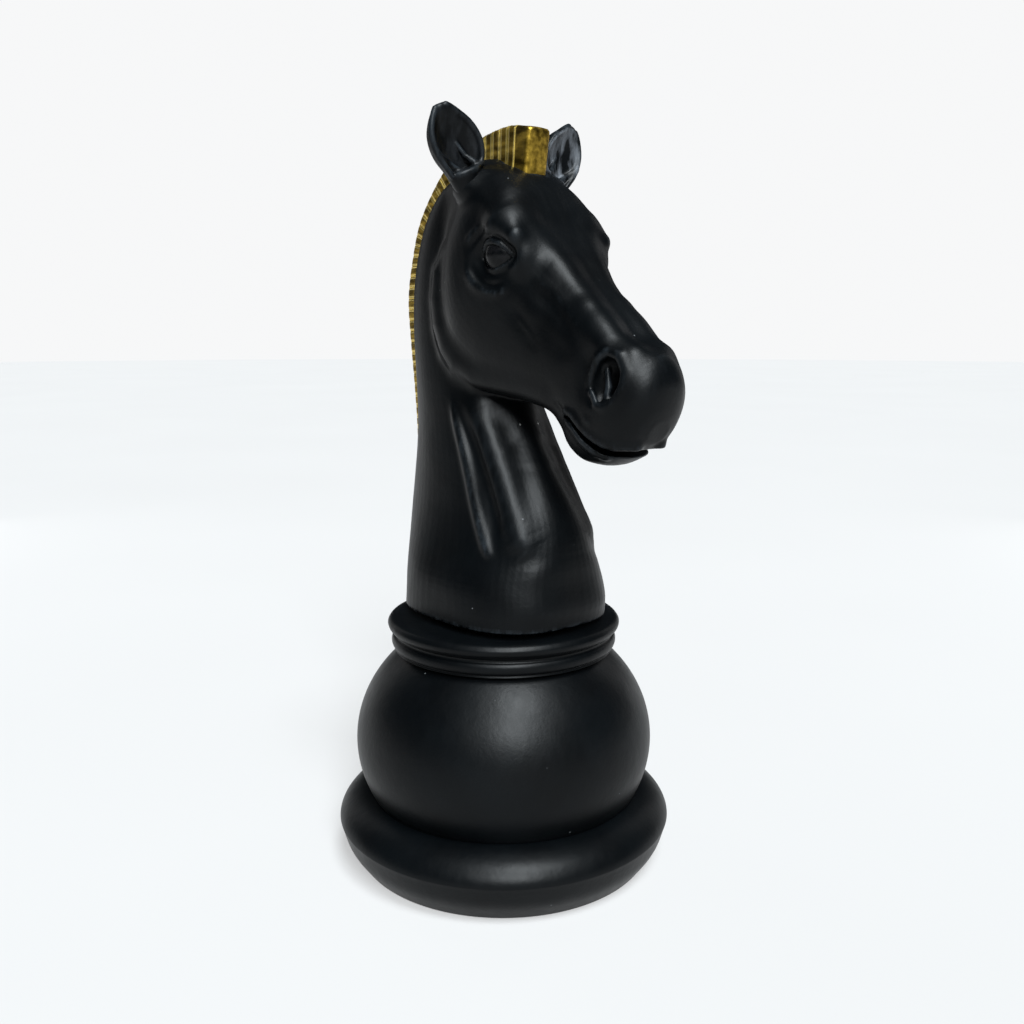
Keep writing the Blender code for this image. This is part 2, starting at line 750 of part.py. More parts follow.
def bust():
    bust_halves()
    bust_core()
    mane_crest()
    skull = bust_outside(GAP)
    ear("left_ear", 1, skull)
    ear("right_ear", -1, skull)
    bpy.data.objects.remove(skull, do_unlink=True)
    eye("left_eye", 1)
    eye("right_eye", -1)
    for number, (low, high) in enumerate(mane_pins(), 1):
        add_object(f"mane_pin_{number}", rod_between(low, high, PIN_DIAMETER / 2), zinc())
    reach = Vector((0, DOWEL_LENGTH / 2, 0))
    for number, middle in enumerate(dowels(), 1):
        add_object(
            f"bust_dowel_{number}", rod_between(middle - reach, middle + reach, DOWEL_DIAMETER / 2), zinc()
        )


# --- tie rod and base hardware -----------------------------------------------------------


def screw_tip():
    return PLATE_BOTTOM - GAP + SCREW_LENGTH


def base_plate():
    rod = ROD_DIAMETER / 2 + ROD_CLEARANCE
    outer = rim_inner() - GAP
    cup = CUP_RADIUS + CUP_WALL
    ceiling = CUP_CEILING + CUP_WALL
    outline = [
        (rod, ceiling), (cup, ceiling), (cup, PLATE_TOP), (outer, PLATE_TOP),
        (outer, PLATE_BOTTOM), (CUP_RADIUS, PLATE_BOTTOM), (CUP_RADIUS, CUP_CEILING), (rod, CUP_CEILING),
    ]
    plate = add_object("base_plate", turned(outline), plate_plastic())
    holes = [
        moved(cylinder(SCREW_DIAMETER / 2 + PIN_CLEARANCE, 0, PLATE_TOP + MM, 10), place)
        for place in around(SCREW_COUNT, screw_circle())
    ]
    holes += [
        moved(cylinder(STEM_DIAMETER / 2 + PIN_CLEARANCE, 0, PLATE_TOP + MM, 12), place)
        for place in around(FOOT_COUNT, FOOT_CIRCLE, math.pi / FOOT_COUNT)
    ]
    holes.append(moved(
        cylinder(BUSH_BORE / 2 + BUSH_WALL + GAP, 0, PLATE_TOP + MM, 24), (-FILLER_OFFSET, 0, 0)
    ))
    return combine(plate, holes)


def base_screws():
    for number, place in enumerate(around(SCREW_COUNT, screw_circle()), 1):
        top = PLATE_BOTTOM - GAP
        head = SCREW_HEAD_DIAMETER / 2
        shank = SCREW_DIAMETER / 2
        outline = [
            (0, screw_tip()), (shank, screw_tip() - shank), (shank, top), (head, top),
            (head, top - SCREW_HEAD_HEIGHT * 0.6), (head * 0.7, top - SCREW_HEAD_HEIGHT),
            (0, top - SCREW_HEAD_HEIGHT),
        ]
        screw = add_object(f"base_screw_{number}", moved(turned(outline, 8), place), zinc())
        slot = bmesh.new()
        bmesh.ops.create_cube(slot, size=1.0)
        bmesh.ops.scale(slot, vec=(head * 3, SCREW_SLOT, 2 * SCREW_SLOT), verts=slot.verts)
        combine(screw, [moved(slot, place + Vector((0, 0, top - SCREW_HEAD_HEIGHT)))])


def rubber_feet():
    for number, place in enumerate(around(FOOT_COUNT, FOOT_CIRCLE, math.pi / FOOT_COUNT), 1):
        wide, stem = FOOT_DIAMETER / 2, STEM_DIAMETER / 2
        top, tip = PLATE_BOTTOM - GAP, PLATE_TOP - GAP
        outline = [
            (0, tip), (stem, tip), (stem, top), (wide, top), (wide * 0.9, 0.8 * MM), (wide * 0.8, 0), (0, 0),
        ]
        add_object(f"rubber_foot_{number}", moved(turned(outline, 12), place), rubber())


def centre_foot():
    """The foot on the Z axis: a cap whose skirt grips the mouth of the cup and hides the nut."""
    skirt_out = CUP_RADIUS - GAP
    skirt_in = skirt_out - CAP_SKIRT_WALL
    top = PLATE_BOTTOM - GAP
    outline = [
        (0, top), (skirt_in, top), (skirt_in, top + CAP_SKIRT_HEIGHT), (skirt_out, top + CAP_SKIRT_HEIGHT),
        (skirt_out, top), (CAP_RADIUS, top), (CAP_RADIUS - MM, 0.8 * MM), (CAP_RADIUS - 2 * MM, 0), (0, 0),
    ]
    add_object("centre_foot", turned(outline, 20), rubber())


def filler():
    """The threaded bush in the base plate, its O-ring and the plug that screws into it."""
    place = Vector((-FILLER_OFFSET, 0, 0))
    bore = BUSH_BORE / 2
    body = bore + BUSH_WALL
    flange_top = PLATE_BOTTOM - GAP
    flange_bottom = flange_top - FLANGE_THICKNESS
    bush_top = flange_top + BUSH_LENGTH
    outline = [
        (body, bush_top), (body, flange_top), (body + BUSH_FLANGE, flange_top),
        (body + BUSH_FLANGE, flange_bottom), (bore, flange_bottom), (bore, bush_top),
    ]
    add_object("filler_bush", moved(turned(outline, 20), place), zinc())
    crest = bore - THREAD_CLEARANCE
    ring_centre = flange_bottom - GAP - RING_THICKNESS / 2
    head_top = ring_centre - RING_THICKNESS / 2 - GAP
    head_bottom = head_top - PLUG_HEAD_HEIGHT
    tip = head_top + PLUG_LENGTH
    stem = [(0, tip), (crest - 2 * MM, tip)]
    thread_top = tip - 1.5 * MM
    while thread_top - THREAD_PITCH > flange_bottom:
        stem += [(crest - THREAD_DEPTH, thread_top), (crest, thread_top - THREAD_PITCH / 2)]
        thread_top -= THREAD_PITCH
    root = crest - THREAD_DEPTH
    stem += [(root, thread_top), (root, head_top)]
    head = PLUG_HEAD_DIAMETER / 2
    outline = stem + [
        (head, head_top), (head, head_bottom + PLUG_CHAMFER), (head - PLUG_CHAMFER, head_bottom),
        (0, head_bottom),
    ]
    plug = add_object("filler_plug", turned(outline, 20), plate_plastic(), place)
    slot = bmesh.new()
    bmesh.ops.create_cube(slot, size=1.0)
    bmesh.ops.scale(slot, vec=(head * 1.5, COIN_SLOT_WIDTH, 2 * COIN_SLOT_DEPTH), verts=slot.verts)
    combine(plug, [moved(slot, place + Vector((0, 0, head_bottom)))])
    thick = RING_THICKNESS / 2
    ring = [
        (root + GAP + thick * (1 + math.cos(angle)), ring_centre + thick * math.sin(angle))
        for angle in (2 * math.pi * i / 6 for i in range(6))
    ]
    add_object("plug_o_ring", turned(ring, 20), rubber(), place)


def hexagon_nut(name, bottom):
    shape = bmesh.new()
    corner = NUT_WIDTH / math.sqrt(3)
    bmesh.ops.create_cone(
        shape, cap_ends=True, segments=6, radius1=corner, radius2=corner, depth=NUT_HEIGHT
    )
    moved(shape, (0, 0, bottom + NUT_HEIGHT / 2))
    nut = add_object(name, shape, zinc())
    hole = cylinder(ROD_DIAMETER / 2 + ROD_CLEARANCE, bottom - MM, bottom + NUT_HEIGHT + MM)
    return combine(nut, [hole])


def washer(name, radius, bottom, thickness):
    rod = ROD_DIAMETER / 2 + ROD_CLEARANCE
    outline = [(rod, bottom + thickness), (radius, bottom + thickness), (radius, bottom), (rod, bottom)]
    return add_object(name, turned(outline, 20), zinc())


def tie_rod():
    """The rod on the Z axis, its nuts and washers, and the tube that keeps the sand off it."""
    washer_bottom = CUP_CEILING - GAP - WASHER_THICKNESS
    nut_bottom = washer_bottom - GAP - NUT_HEIGHT
    washer("lower_washer", WASHER_DIAMETER / 2, washer_bottom, WASHER_THICKNESS)
    hexagon_nut("lower_nut", nut_bottom)
    washer("anchor_plate", ANCHOR_DIAMETER / 2, BUST_FLOOR + GAP, ANCHOR_THICKNESS)
    hexagon_nut("upper_nut", BUST_FLOOR + 2 * GAP + ANCHOR_THICKNESS)
    add_object("tie_rod", cylinder(ROD_DIAMETER / 2, nut_bottom - 2 * MM, tie_rod_top(), 16), zinc())
    tube_in = ROD_DIAMETER / 2 + ROD_CLEARANCE
    bottom, top = CUP_CEILING + CUP_WALL + GAP, BALL_TOP - BALL_WALL - GAP
    outline = [(tube_in, top), (tube_in + TUBE_WALL, top), (tube_in + TUBE_WALL, bottom), (tube_in, bottom)]
    add_object("centre_tube", turned(outline, 20), plate_plastic())


def sand_ballast():
    """Dry sand that fills the plinth and the ball."""
    hole = ROD_DIAMETER / 2 + ROD_CLEARANCE + TUBE_WALL + GAP
    cup = CUP_RADIUS + CUP_WALL + GAP
    ledge = min(rim_inner() - LEDGE_WIDTH, BALL_SEAT_RADIUS - SEAT_INSET) - GAP
    mouth = BALL_MOUTH_RADIUS - GAP
    web = PLINTH_TOP - PLINTH_WALL - GAP
    floor, ceiling = BALL_BOTTOM + BALL_WALL + GAP, BALL_TOP - BALL_WALL - GAP
    dome = [(ball_radius(height, BALL_WALL + LOOSE_GAP), height) for height in arc_heights(floor, ceiling, 5)]
    outline = (
        [(hole, ceiling)] + dome[::-1]
        + [(mouth, floor), (mouth, web), (ledge, web), (ledge, PLATE_TOP + GAP), (cup, PLATE_TOP + GAP)]
        + [(cup, CUP_CEILING + CUP_WALL + GAP), (hole, CUP_CEILING + CUP_WALL + GAP)]
    )
    fill = add_object("sand_ballast", turned(outline), sand())
    bush = BUSH_BORE / 2 + BUSH_WALL + GAP
    top = PLATE_BOTTOM + BUSH_LENGTH + GAP
    return combine(fill, [moved(cylinder(bush, 0, top, 24), (-FILLER_OFFSET, 0, 0))])


clear_scene()
plinth_shell()
ball_shell()
collar_ring()
bust()
base_plate()
base_screws()
rubber_feet()
centre_foot()
filler()
tie_rod()
sand_ballast()
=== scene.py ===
# %% [markdown]
# # A lawn-sized chess knight
# The real piece is a hollow moulding: a horse's head and neck stand on a turned collar, a
# ball and a plinth, and a gilt mane runs down the crest. They stay where they are, and each
# nicer piece made here says which solid it stands for and which body carries it.

# %% Load the frame
import json
import math

import bmesh
import bpy
import numpy as np
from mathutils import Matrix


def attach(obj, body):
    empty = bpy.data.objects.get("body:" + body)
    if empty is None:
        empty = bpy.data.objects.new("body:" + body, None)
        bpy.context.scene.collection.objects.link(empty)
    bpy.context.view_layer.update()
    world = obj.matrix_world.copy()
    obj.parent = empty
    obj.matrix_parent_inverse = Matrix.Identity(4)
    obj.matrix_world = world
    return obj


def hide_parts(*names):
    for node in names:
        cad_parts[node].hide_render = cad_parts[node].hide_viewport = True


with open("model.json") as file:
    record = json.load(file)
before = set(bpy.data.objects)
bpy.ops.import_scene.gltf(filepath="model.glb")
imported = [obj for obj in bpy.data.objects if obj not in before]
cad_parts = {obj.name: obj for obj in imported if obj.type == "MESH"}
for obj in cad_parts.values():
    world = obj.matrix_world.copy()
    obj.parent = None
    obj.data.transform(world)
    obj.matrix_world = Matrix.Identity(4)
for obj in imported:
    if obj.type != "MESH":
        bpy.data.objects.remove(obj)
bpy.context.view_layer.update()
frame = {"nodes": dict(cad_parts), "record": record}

import openvdb
from mathutils import Vector

MM = 0.001
KNIGHT = "knight"

# %% [markdown]
# ## Finishes
# Every finish is a small node tree on one Principled shader. Noise textures read the object's
# own coordinates, so a pattern stays in place however the piece is turned or seen. The first
# helper sets up the shader and the second one adds a cloudy noise, which is how paint gets its
# faint unevenness without any picture file.

# %% Shader and noise
def new_finish(name, metallic=0.0, roughness=0.5, level=0.5):
    """A material and the parts of it that the recipes below add to."""
    finish = bpy.data.materials.new(name)
    finish.use_nodes = True
    tree = finish.node_tree
    shader = tree.nodes["Principled BSDF"]
    shader.inputs["Metallic"].default_value = metallic
    shader.inputs["Roughness"].default_value = roughness
    shader.inputs["Specular IOR Level"].default_value = level
    place = tree.nodes.new("ShaderNodeTexCoord").outputs["Object"]
    return finish, tree, shader, place


def noise(tree, place, scale, detail, stretch=(1, 1, 1)):
    """Cloudy values from 0 to 1, scale of them to the metre."""
    spread = tree.nodes.new("ShaderNodeMapping")
    spread.inputs["Scale"].default_value = stretch
    tree.links.new(place, spread.inputs["Vector"])
    cloud = tree.nodes.new("ShaderNodeTexNoise")
    cloud.inputs["Scale"].default_value = scale
    cloud.inputs["Detail"].default_value = detail
    tree.links.new(spread.outputs["Vector"], cloud.inputs["Vector"])
    return cloud.outputs["Fac"]


print("shader and noise ready")

# %% [markdown]
# Four more helpers work on values and colours: one spreads a narrow range of noise over a
# wider one, one mixes two colours, one reads a value that a mesh stores on its vertices, and
# one multiplies two values. They keep each recipe down to the numbers that make one paint
# differ from another.

# %% Ranges and mixes
def ranged(tree, value, low, high, out_low=0.0, out_high=1.0):
    """value, with low to high spread over out_low to out_high."""
    node = tree.nodes.new("ShaderNodeMapRange")
    limits = {"From Min": low, "From Max": high, "To Min": out_low, "To Max": out_high}
    for key, number in limits.items():
        node.inputs[key].default_value = number
    tree.links.new(value, node.inputs["Value"])
    return node.outputs["Result"]


def mixed(tree, share, first, second):
    """A colour between two: each is three numbers or another node's output."""
    node = tree.nodes.new("ShaderNodeMix")
    node.data_type = "RGBA"
    tree.links.new(share, node.inputs["Factor"])
    for socket, colour in ((node.inputs[6], first), (node.inputs[7], second)):
        if isinstance(colour, tuple):
            socket.default_value = (*colour, 1.0)
        else:
            tree.links.new(colour, socket)
    return node.outputs[2]


def painted_value(tree, name):
    """A value stored on the mesh's own vertices."""
    node = tree.nodes.new("ShaderNodeAttribute")
    node.attribute_name = name
    return node.outputs["Fac"]


def both(tree, first, second):
    """The product of two values: high only where both are high."""
    node = tree.nodes.new("ShaderNodeMath")
    node.operation = "MULTIPLY"
    tree.links.new(first, node.inputs[0])
    tree.links.new(second, node.inputs[1])
    return node.outputs["Value"]


print("ranges and mixes ready")

# %% [markdown]
# Bumps tilt the light on a surface without moving it, which is right for grain finer than a
# tenth of a millimetre. Coarser shape is made in the mesh itself, further down. Several bumps
# are chained, each on top of the one before.

# %% Bumps
def bumped(tree, shader, layers):
    """Chains bump nodes: each layer is a value and its height in metres."""
    last = None
    for value, height in layers:
        node = tree.nodes.new("ShaderNodeBump")
        node.inputs["Distance"].default_value = height
        tree.links.new(value, node.inputs["Height"])
        if last is not None:
            tree.links.new(last, node.inputs["Normal"])
        last = node.outputs["Normal"]
    tree.links.new(last, shader.inputs["Normal"])


print("bumps ready")

# %% [markdown]
# ### Satin black
# The moulding is sprayed with a satin black that leans to blue. Real spray is never even: it
# has slow cloudy patches, a fine orange-peel skin and a few specks of dust that the lacquer
# caught. Sharp edges are rubbed a little greyer. The sculpted pieces store how sharply each
# point bends in a vertex value called bend, and the paint reads it.

# %% Satin black finish
PAINT_DEEP = (0.0003, 0.0006, 0.0009)
PAINT_PALE = (0.0010, 0.0016, 0.0021)
RUBBED = (0.010, 0.0125, 0.015)
DUST = (0.09, 0.095, 0.10)
PAINT_LEVEL = 0.125
PAINT_ROUGHNESS = (0.385, 0.43)
PATCHES, WAVES, DUST_GRAIN, STREAKS, PEEL = 24, 60, 120, 190, 520  # to the metre
WAVE_HEIGHT, PEEL_HEIGHT = 0.0003, 0.00006


def dust_specks(tree, place):
    """High only in small dots: the middles of the few cells whose own number is high."""
    cells = tree.nodes.new("ShaderNodeTexVoronoi")
    cells.inputs["Scale"].default_value = DUST_GRAIN
    tree.links.new(place, cells.inputs["Vector"])
    split = tree.nodes.new("ShaderNodeSeparateColor")
    tree.links.new(cells.outputs["Color"], split.inputs["Color"])
    dots = ranged(tree, cells.outputs["Distance"], 0.075, 0.05)
    return both(tree, dots, ranged(tree, split.outputs["Red"], 0.93, 0.96))


def satin_black(name, worn=True):
    """The paint; worn reads how sharply the mesh bends and rubs its edges greyer."""
    finish, tree, shader, place = new_finish(name, level=PAINT_LEVEL)
    patches = noise(tree, place, PATCHES, 4)
    colour = mixed(tree, ranged(tree, patches, 0.35, 0.68), PAINT_DEEP, PAINT_PALE)
    streaks = noise(tree, place, STREAKS, 5, (1.0, 1.0, 0.22))
    if worn:
        edge = ranged(tree, painted_value(tree, "bend"), 0.10, 0.45)
        edge = both(tree, edge, ranged(tree, streaks, 0.38, 0.62))
        colour = mixed(tree, edge, colour, RUBBED)
    colour = mixed(tree, dust_specks(tree, place), colour, DUST)
    tree.links.new(colour, shader.inputs["Base Color"])
    roughness = ranged(tree, streaks, 0.3, 0.7, *PAINT_ROUGHNESS)
    tree.links.new(roughness, shader.inputs["Roughness"])
    waves, peel = noise(tree, place, WAVES, 3), noise(tree, place, PEEL, 2)
    bumped(tree, shader, [(waves, WAVE_HEIGHT), (peel, PEEL_HEIGHT)])
    return finish


black = satin_black("satin_black")
turned_black = satin_black("satin_black_turned", worn=False)
print("paints:", black.name, turned_black.name)

# %% [markdown]
# ### Old gold
# The mane is gilt paint over cut grooves: a true metal shader, because gold colours its own
# reflections. Its face is an old brass. The cuts are painted a bright gold, painted light that
# lifts the shade falling in them, and their lips carry a painted highlight of pale gold. Two
# vertex values, groove and lip, say where they are.

# %% Gilt finish
GOLD_BODY = (0.15, 0.095, 0.012)
GOLD_PALE = (0.48, 0.315, 0.048)
GOLD_CUT_PAINTED_LIGHT = (0.72, 0.52, 0.11)
GOLD_LIP_HIGHLIGHT = (1.0, 0.80, 0.30)
GOLD_ROUGHNESS = (0.34, 0.52)
BRUSH_MARKS, DENTS = 260, 90  # to the metre
MARK_HEIGHT, DENT_HEIGHT = 0.00015, 0.0005


def gilt():
    finish, tree, shader, place = new_finish("gilt", metallic=1.0)
    brush = noise(tree, place, BRUSH_MARKS, 4, (0.35, 1.0, 1.0))
    body = mixed(tree, ranged(tree, brush, 0.35, 0.7), GOLD_BODY, GOLD_PALE)
    # the cuts get painted light against their shade, the lips a painted highlight
    lit_cuts = mixed(tree, painted_value(tree, "groove"), body, GOLD_CUT_PAINTED_LIGHT)
    colour = mixed(tree, painted_value(tree, "lip"), lit_cuts, GOLD_LIP_HIGHLIGHT)
    tree.links.new(colour, shader.inputs["Base Color"])
    roughness = ranged(tree, brush, 0.3, 0.7, *GOLD_ROUGHNESS)
    tree.links.new(roughness, shader.inputs["Roughness"])
    dents = noise(tree, place, DENTS, 3)
    bumped(tree, shader, [(dents, DENT_HEIGHT), (brush, MARK_HEIGHT)])
    return finish


gold = gilt()
print("metal:", gold.name)

# %% [markdown]
# ### The small finishes
# Glossy eyes, moulded plate, rubber, plated steel, sand and foam differ less in kind than in
# scale, so one recipe makes them all: two colours, one noise at the grain's real size, a bump
# of its real height and a range of roughness.

# %% Small finishes
def grained(name, deep, pale, scale, height, roughness, metallic=0.0, level=0.5):
    """A two-colour grain, scale of it to the metre, with a bump of this height in metres."""
    finish, tree, shader, place = new_finish(name, metallic, level=level)
    grain = noise(tree, place, scale, 4)
    colour = mixed(tree, ranged(tree, grain, 0.35, 0.65), deep, pale)
    tree.links.new(colour, shader.inputs["Base Color"])
    tree.links.new(ranged(tree, grain, 0.3, 0.7, *roughness), shader.inputs["Roughness"])
    bumped(tree, shader, [(grain, height)])
    return finish


# Name, deep and pale colour, grains to the metre, their height, and the range of roughness.
eye_gloss = grained(
    "eye_gloss", (0.0010, 0.0013, 0.0016), (0.004, 0.004, 0.0045), 300, 0.00002, (0.22, 0.30),
    level=0.14,
)
plate_plastic = grained(
    "plate_plastic", (0.011, 0.011, 0.012), (0.020, 0.020, 0.021), 700, 0.0001, (0.5, 0.66)
)
rubber = grained(
    "rubber", (0.010, 0.010, 0.010), (0.022, 0.021, 0.020), 420, 0.0002, (0.7, 0.88)
)
zinc = grained(
    "zinc", (0.50, 0.50, 0.49), (0.66, 0.66, 0.64), 380, 0.00005, (0.28, 0.46), metallic=1.0
)
sand = grained("sand", (0.42, 0.32, 0.20), (0.66, 0.54, 0.37), 900, 0.0006, (0.85, 0.95))
foam = grained("foam", (0.55, 0.53, 0.46), (0.70, 0.68, 0.60), 240, 0.0008, (0.8, 0.9))
small = (eye_gloss, plate_plastic, rubber, zinc, sand, foam)
print("small finishes:", [finish.name for finish in small])

# %% [markdown]
# ## Turned parts
# The plinth, the ball and the collar come off a lathe, so each one is a profile spun about the
# upright axis. A profile is a list of radius, height and corner fillet; the fillets are cut as
# short arcs, so that every edge catches a line of light instead of ending in a knife edge.

# %% Profiles with fillets
def filleted(corners, steps=5):
    """The closed profile with each corner that has a fillet rounded by a short arc."""
    path = []
    for i, (radius, height, fillet) in enumerate(corners):
        here = Vector((radius, height))
        before = Vector(corners[i - 1][:2]) - here
        after = Vector(corners[(i + 1) % len(corners)][:2]) - here
        reach = min(fillet, before.length * 0.45, after.length * 0.45)
        if reach < 1e-6:
            path.append(here)
            continue
        start = here + before.normalized() * reach
        end = here + after.normalized() * reach
        for step in range(steps + 1):
            t = step / steps
            path.append(start * (1 - t) ** 2 + here * 2 * t * (1 - t) + end * t ** 2)
    return path


sample = filleted([(0, 0, 0), (10, 0, 2), (10, 10, 0)])
print("a three-cornered profile with one fillet has", len(sample), "points")

# %% [markdown]
# Small helpers turn worked shapes into objects in the scene. Faces are shaded smooth, and
# only breaks sharper than a set angle stay crisp, as they would under a coat of paint.

# %% Into the scene
SHARP = math.radians(40)


def placed(name, mesh):
    """An object in the scene that shows the mesh."""
    piece = bpy.data.objects.new(name, mesh)
    bpy.context.scene.collection.objects.link(piece)
    return piece


def stored(mesh, name, values):
    """Keeps a value on each vertex, for a finish to read."""
    attribute = mesh.attributes.new(name, "FLOAT", "POINT")
    attribute.data.foreach_set("value", np.array(values, np.float32))


def added(name, shape, finish):
    """The worked shape as an object, smooth except at its sharp breaks."""
    mesh = bpy.data.meshes.new(name)
    shape.to_mesh(mesh)
    shape.free()
    mesh.materials.append(finish)
    mesh.shade_smooth()
    mesh.set_sharp_from_angle(angle=SHARP)
    return placed(name, mesh)


print("breaks stay sharp above", round(math.degrees(SHARP)), "degrees")

# %% [markdown]
# The lathe itself: each point of the profile becomes a ring of vertices, or one vertex on the
# axis, and neighbouring rings are joined with faces. A Screw modifier could do the same, but
# faces made one by one close neatly on the axis, and the piece can stand off the middle.

# %% Lathe
AROUND = 192


def spun(name, profile, finish, around=AROUND, middle=(0, 0)):
    """A solid of revolution from a closed profile, radius and height in millimetres."""
    shape = bmesh.new()
    rings = []
    for radius, height in profile:
        if radius < 1e-4:
            rings.append([shape.verts.new((middle[0] * MM, middle[1] * MM, height * MM))])
            continue
        ring = []
        for i in range(around):
            angle = 2 * math.pi * i / around
            x = middle[0] + radius * math.cos(angle)
            y = middle[1] + radius * math.sin(angle)
            ring.append(shape.verts.new((x * MM, y * MM, height * MM)))
        rings.append(ring)
    for first, second in zip(rings, rings[1:] + rings[:1]):
        if len(first) == len(second) == 1:
            continue
        for i in range(around):
            following = (i + 1) % around
            corners = [first[i % len(first)], first[following % len(first)]]
            corners += [second[following % len(second)], second[i % len(second)]]
            shape.faces.new(list(dict.fromkeys(corners)))
    bmesh.ops.recalc_face_normals(shape, faces=shape.faces)
    return added(name, shape, finish)


print("lathe:", AROUND, "steps a turn")

# %% [markdown]
# This helper says which body carries the piece and which solids it hides.

# %% Standing for a solid
SLOT_OF = {part["node"]: part["material_slot"] for part in frame["record"]["subparts"]}
remade = set()


def stands_for(piece, *nodes, body=KNIGHT):
    """The piece rides on its body and is shown instead of these solids."""
    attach(piece, body)
    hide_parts(*nodes)
    remade.update(nodes)
    return piece


print("solids that may be stood for:", len(SLOT_OF))

# %% [markdown]
# ### Plinth
# The foot is a wide dish with a rolled top, a crisp edge part of the way down and a lower wall
# that leans in to the floor. The crisp edge keeps only a tiny fillet, and the roll is a true
# quarter curve, because a broad highlight lies along it.

# %% Plinth
EDGE_RADIUS = 115.0
EDGE_HEIGHT = 28.5
SEAT_RADIUS = 92.0
ROLL_TOP = 46.0
ROLL_POWER = 1.12
PLINTH_WALL = [(114.2, 26.1, 2.0), (110.8, 14.25, 8.0), (101.6, 1.5, 1.2)]
PLINTH_INSIDE = [
    (94.0, 1.5, 1.2), (94.0, 14.3, 0.3), (82.0, 14.3, 0.6), (82.0, 27.3, 1.0),
    (98.0, 34.0, 3.0), (90.0, 40.0, 2.0), (60.0, 40.0, 0.5), (60.0, 46.0, 0.3),
]


def plinth_profile():
    """The rolled top, a little fuller than a quarter ellipse, then the wall and the inside."""
    roll = []
    for step in range(25):
        angle = math.pi / 2 * (1 - step / 24)
        out = (EDGE_RADIUS - SEAT_RADIUS) * math.cos(angle) ** ROLL_POWER
        up = (ROLL_TOP - EDGE_HEIGHT) * math.sin(angle) ** ROLL_POWER
        roll.append((SEAT_RADIUS + out, EDGE_HEIGHT + up, 0.0))
    roll[-1] = (EDGE_RADIUS, EDGE_HEIGHT, 0.8)
    return filleted(roll + PLINTH_WALL + PLINTH_INSIDE)


plinth = stands_for(spun("plinth", plinth_profile(), turned_black), "plinth_shell")
print("plinth across:", round(max(plinth.dimensions) / MM), "mm")

# %% [markdown]
# ### Ball
# The ball is a squashed sphere. Its outside is the visible part; a second skin inside keeps
# it a real hollow shell, with the neck that drops into the plinth.

# %% Ball
BALL_RADIUS = 102.0
BALL_MIDDLE = 83.0
BALL_RISE = 86.0
BALL_WALL = 7.0
BALL_LOW, BALL_TOP = 46.3, 147.0
BALL_SPIGOT = [(59.7, 46.3, 0.3), (59.7, 40.3, 0.6), (56.0, 40.3, 0.6), (56.0, 53.3, 0.5)]


def ball_radius(height, inset=0.0):
    """How far the squashed sphere reaches at a height, or its inner skin, inset from it."""
    rise = (height - BALL_MIDDLE) / (BALL_RISE - inset)
    return (BALL_RADIUS - inset) * math.sqrt(1 - rise ** 2)


def ball_profile():
    """Down the outside, with steps crowded at both ends, round the spigot and up the inside."""
    tall = BALL_TOP - BALL_LOW
    outside = [BALL_TOP - tall * (1 - math.cos(math.pi * i / 56)) / 2 for i in range(57)]
    low, high = BALL_LOW + BALL_WALL, BALL_TOP - BALL_WALL
    inside = [low + (high - low) * i / 20 for i in range(21)]
    corners = [(40.0, 151.0, 0.6), (40.0, BALL_TOP, 0.3)]
    corners += [(ball_radius(height), height, 0.0) for height in outside]
    corners += BALL_SPIGOT
    corners += [(ball_radius(height, BALL_WALL), height, 0.0) for height in inside]
    corners += [(5.5, high, 0.2), (5.5, 151.0, 0.2)]
    return filleted(corners, 4)


ball = stands_for(spun("ball", ball_profile(), turned_black), "ball_shell")
print("ball across:", round(ball.dimensions.x / MM), "mm")

# %% [markdown]
# ### Collar
# Between ball and bust sits a ring: a narrow step, a half-round bead, a groove, and a wide
# lip that flares up to a flat seat. Small fillets at each break give the thin bright lines.

# %% Collar
COLLAR_LIP = [
    (72.0, 169.6, 1.0), (77.2, 168.6, 2.6), (79.4, 165.4, 1.5), (78.7, 162.6, 1.2),
    (76.4, 160.0, 1.6), (74.4, 158.9, 0.4), (74.3, 157.6, 0.5),
]
BEAD_MIDDLE = (74.2, 152.9)
BEAD_SIZE = (2.6, 4.0)
COLLAR_FOOT = [(74.2, 148.6, 0.3), (74.8, 147.3, 0.3)]
COLLAR_BORE = [(40.3, 147.3, 0.2), (40.3, 151.3, 0.2), (5.5, 151.3, 0.2), (5.5, 169.6, 0.2)]


def collar_profile():
    """The flared lip, the bead as an arc, the narrow step and the bore."""
    bead = []
    for step in range(15):
        angle = math.radians(78 - 156 * step / 14)
        out, up = BEAD_SIZE[0] * math.cos(angle), BEAD_SIZE[1] * math.sin(angle)
        bead.append((BEAD_MIDDLE[0] + out, BEAD_MIDDLE[1] + up, 0.0))
    return filleted(COLLAR_LIP + bead + COLLAR_FOOT + COLLAR_BORE, 4)


collar = stands_for(spun("collar", collar_profile(), turned_black), "collar_ring")
print("collar across:", round(collar.dimensions.x / MM), "mm")

# %% [markdown]
# ## The bust
# A horse's head is all soft forms that flow into each other, which is hard to build from
# faces one at a time. So it is worked like clay: a block of grid points stores how far each
# one is from the surface, negative inside. Adding, carving and pressing are then plain sums
# on numbers, joins can be as soft or as crisp as wished, and OpenVDB, the volume library
# that comes with Blender, turns the zero level back into a mesh at the end. The horse is
# the same left and right, so only the left half is worked and it is mirrored when it is done.

# %% The block of clay
SEAT = 169.9  # where the bust stands, a hair above the collar
GRAIN = 1.0
BAND = 14.0  # how far from a surface distances are kept
LOW = np.array((-108.0, 0.0, 164.0))
HIGH = np.array((154.0, 66.0, 476.0))
COUNT = np.round((HIGH - LOW) / GRAIN).astype(int) + 1
AXES = [LOW[i] + GRAIN * np.arange(COUNT[i]) for i in range(3)]


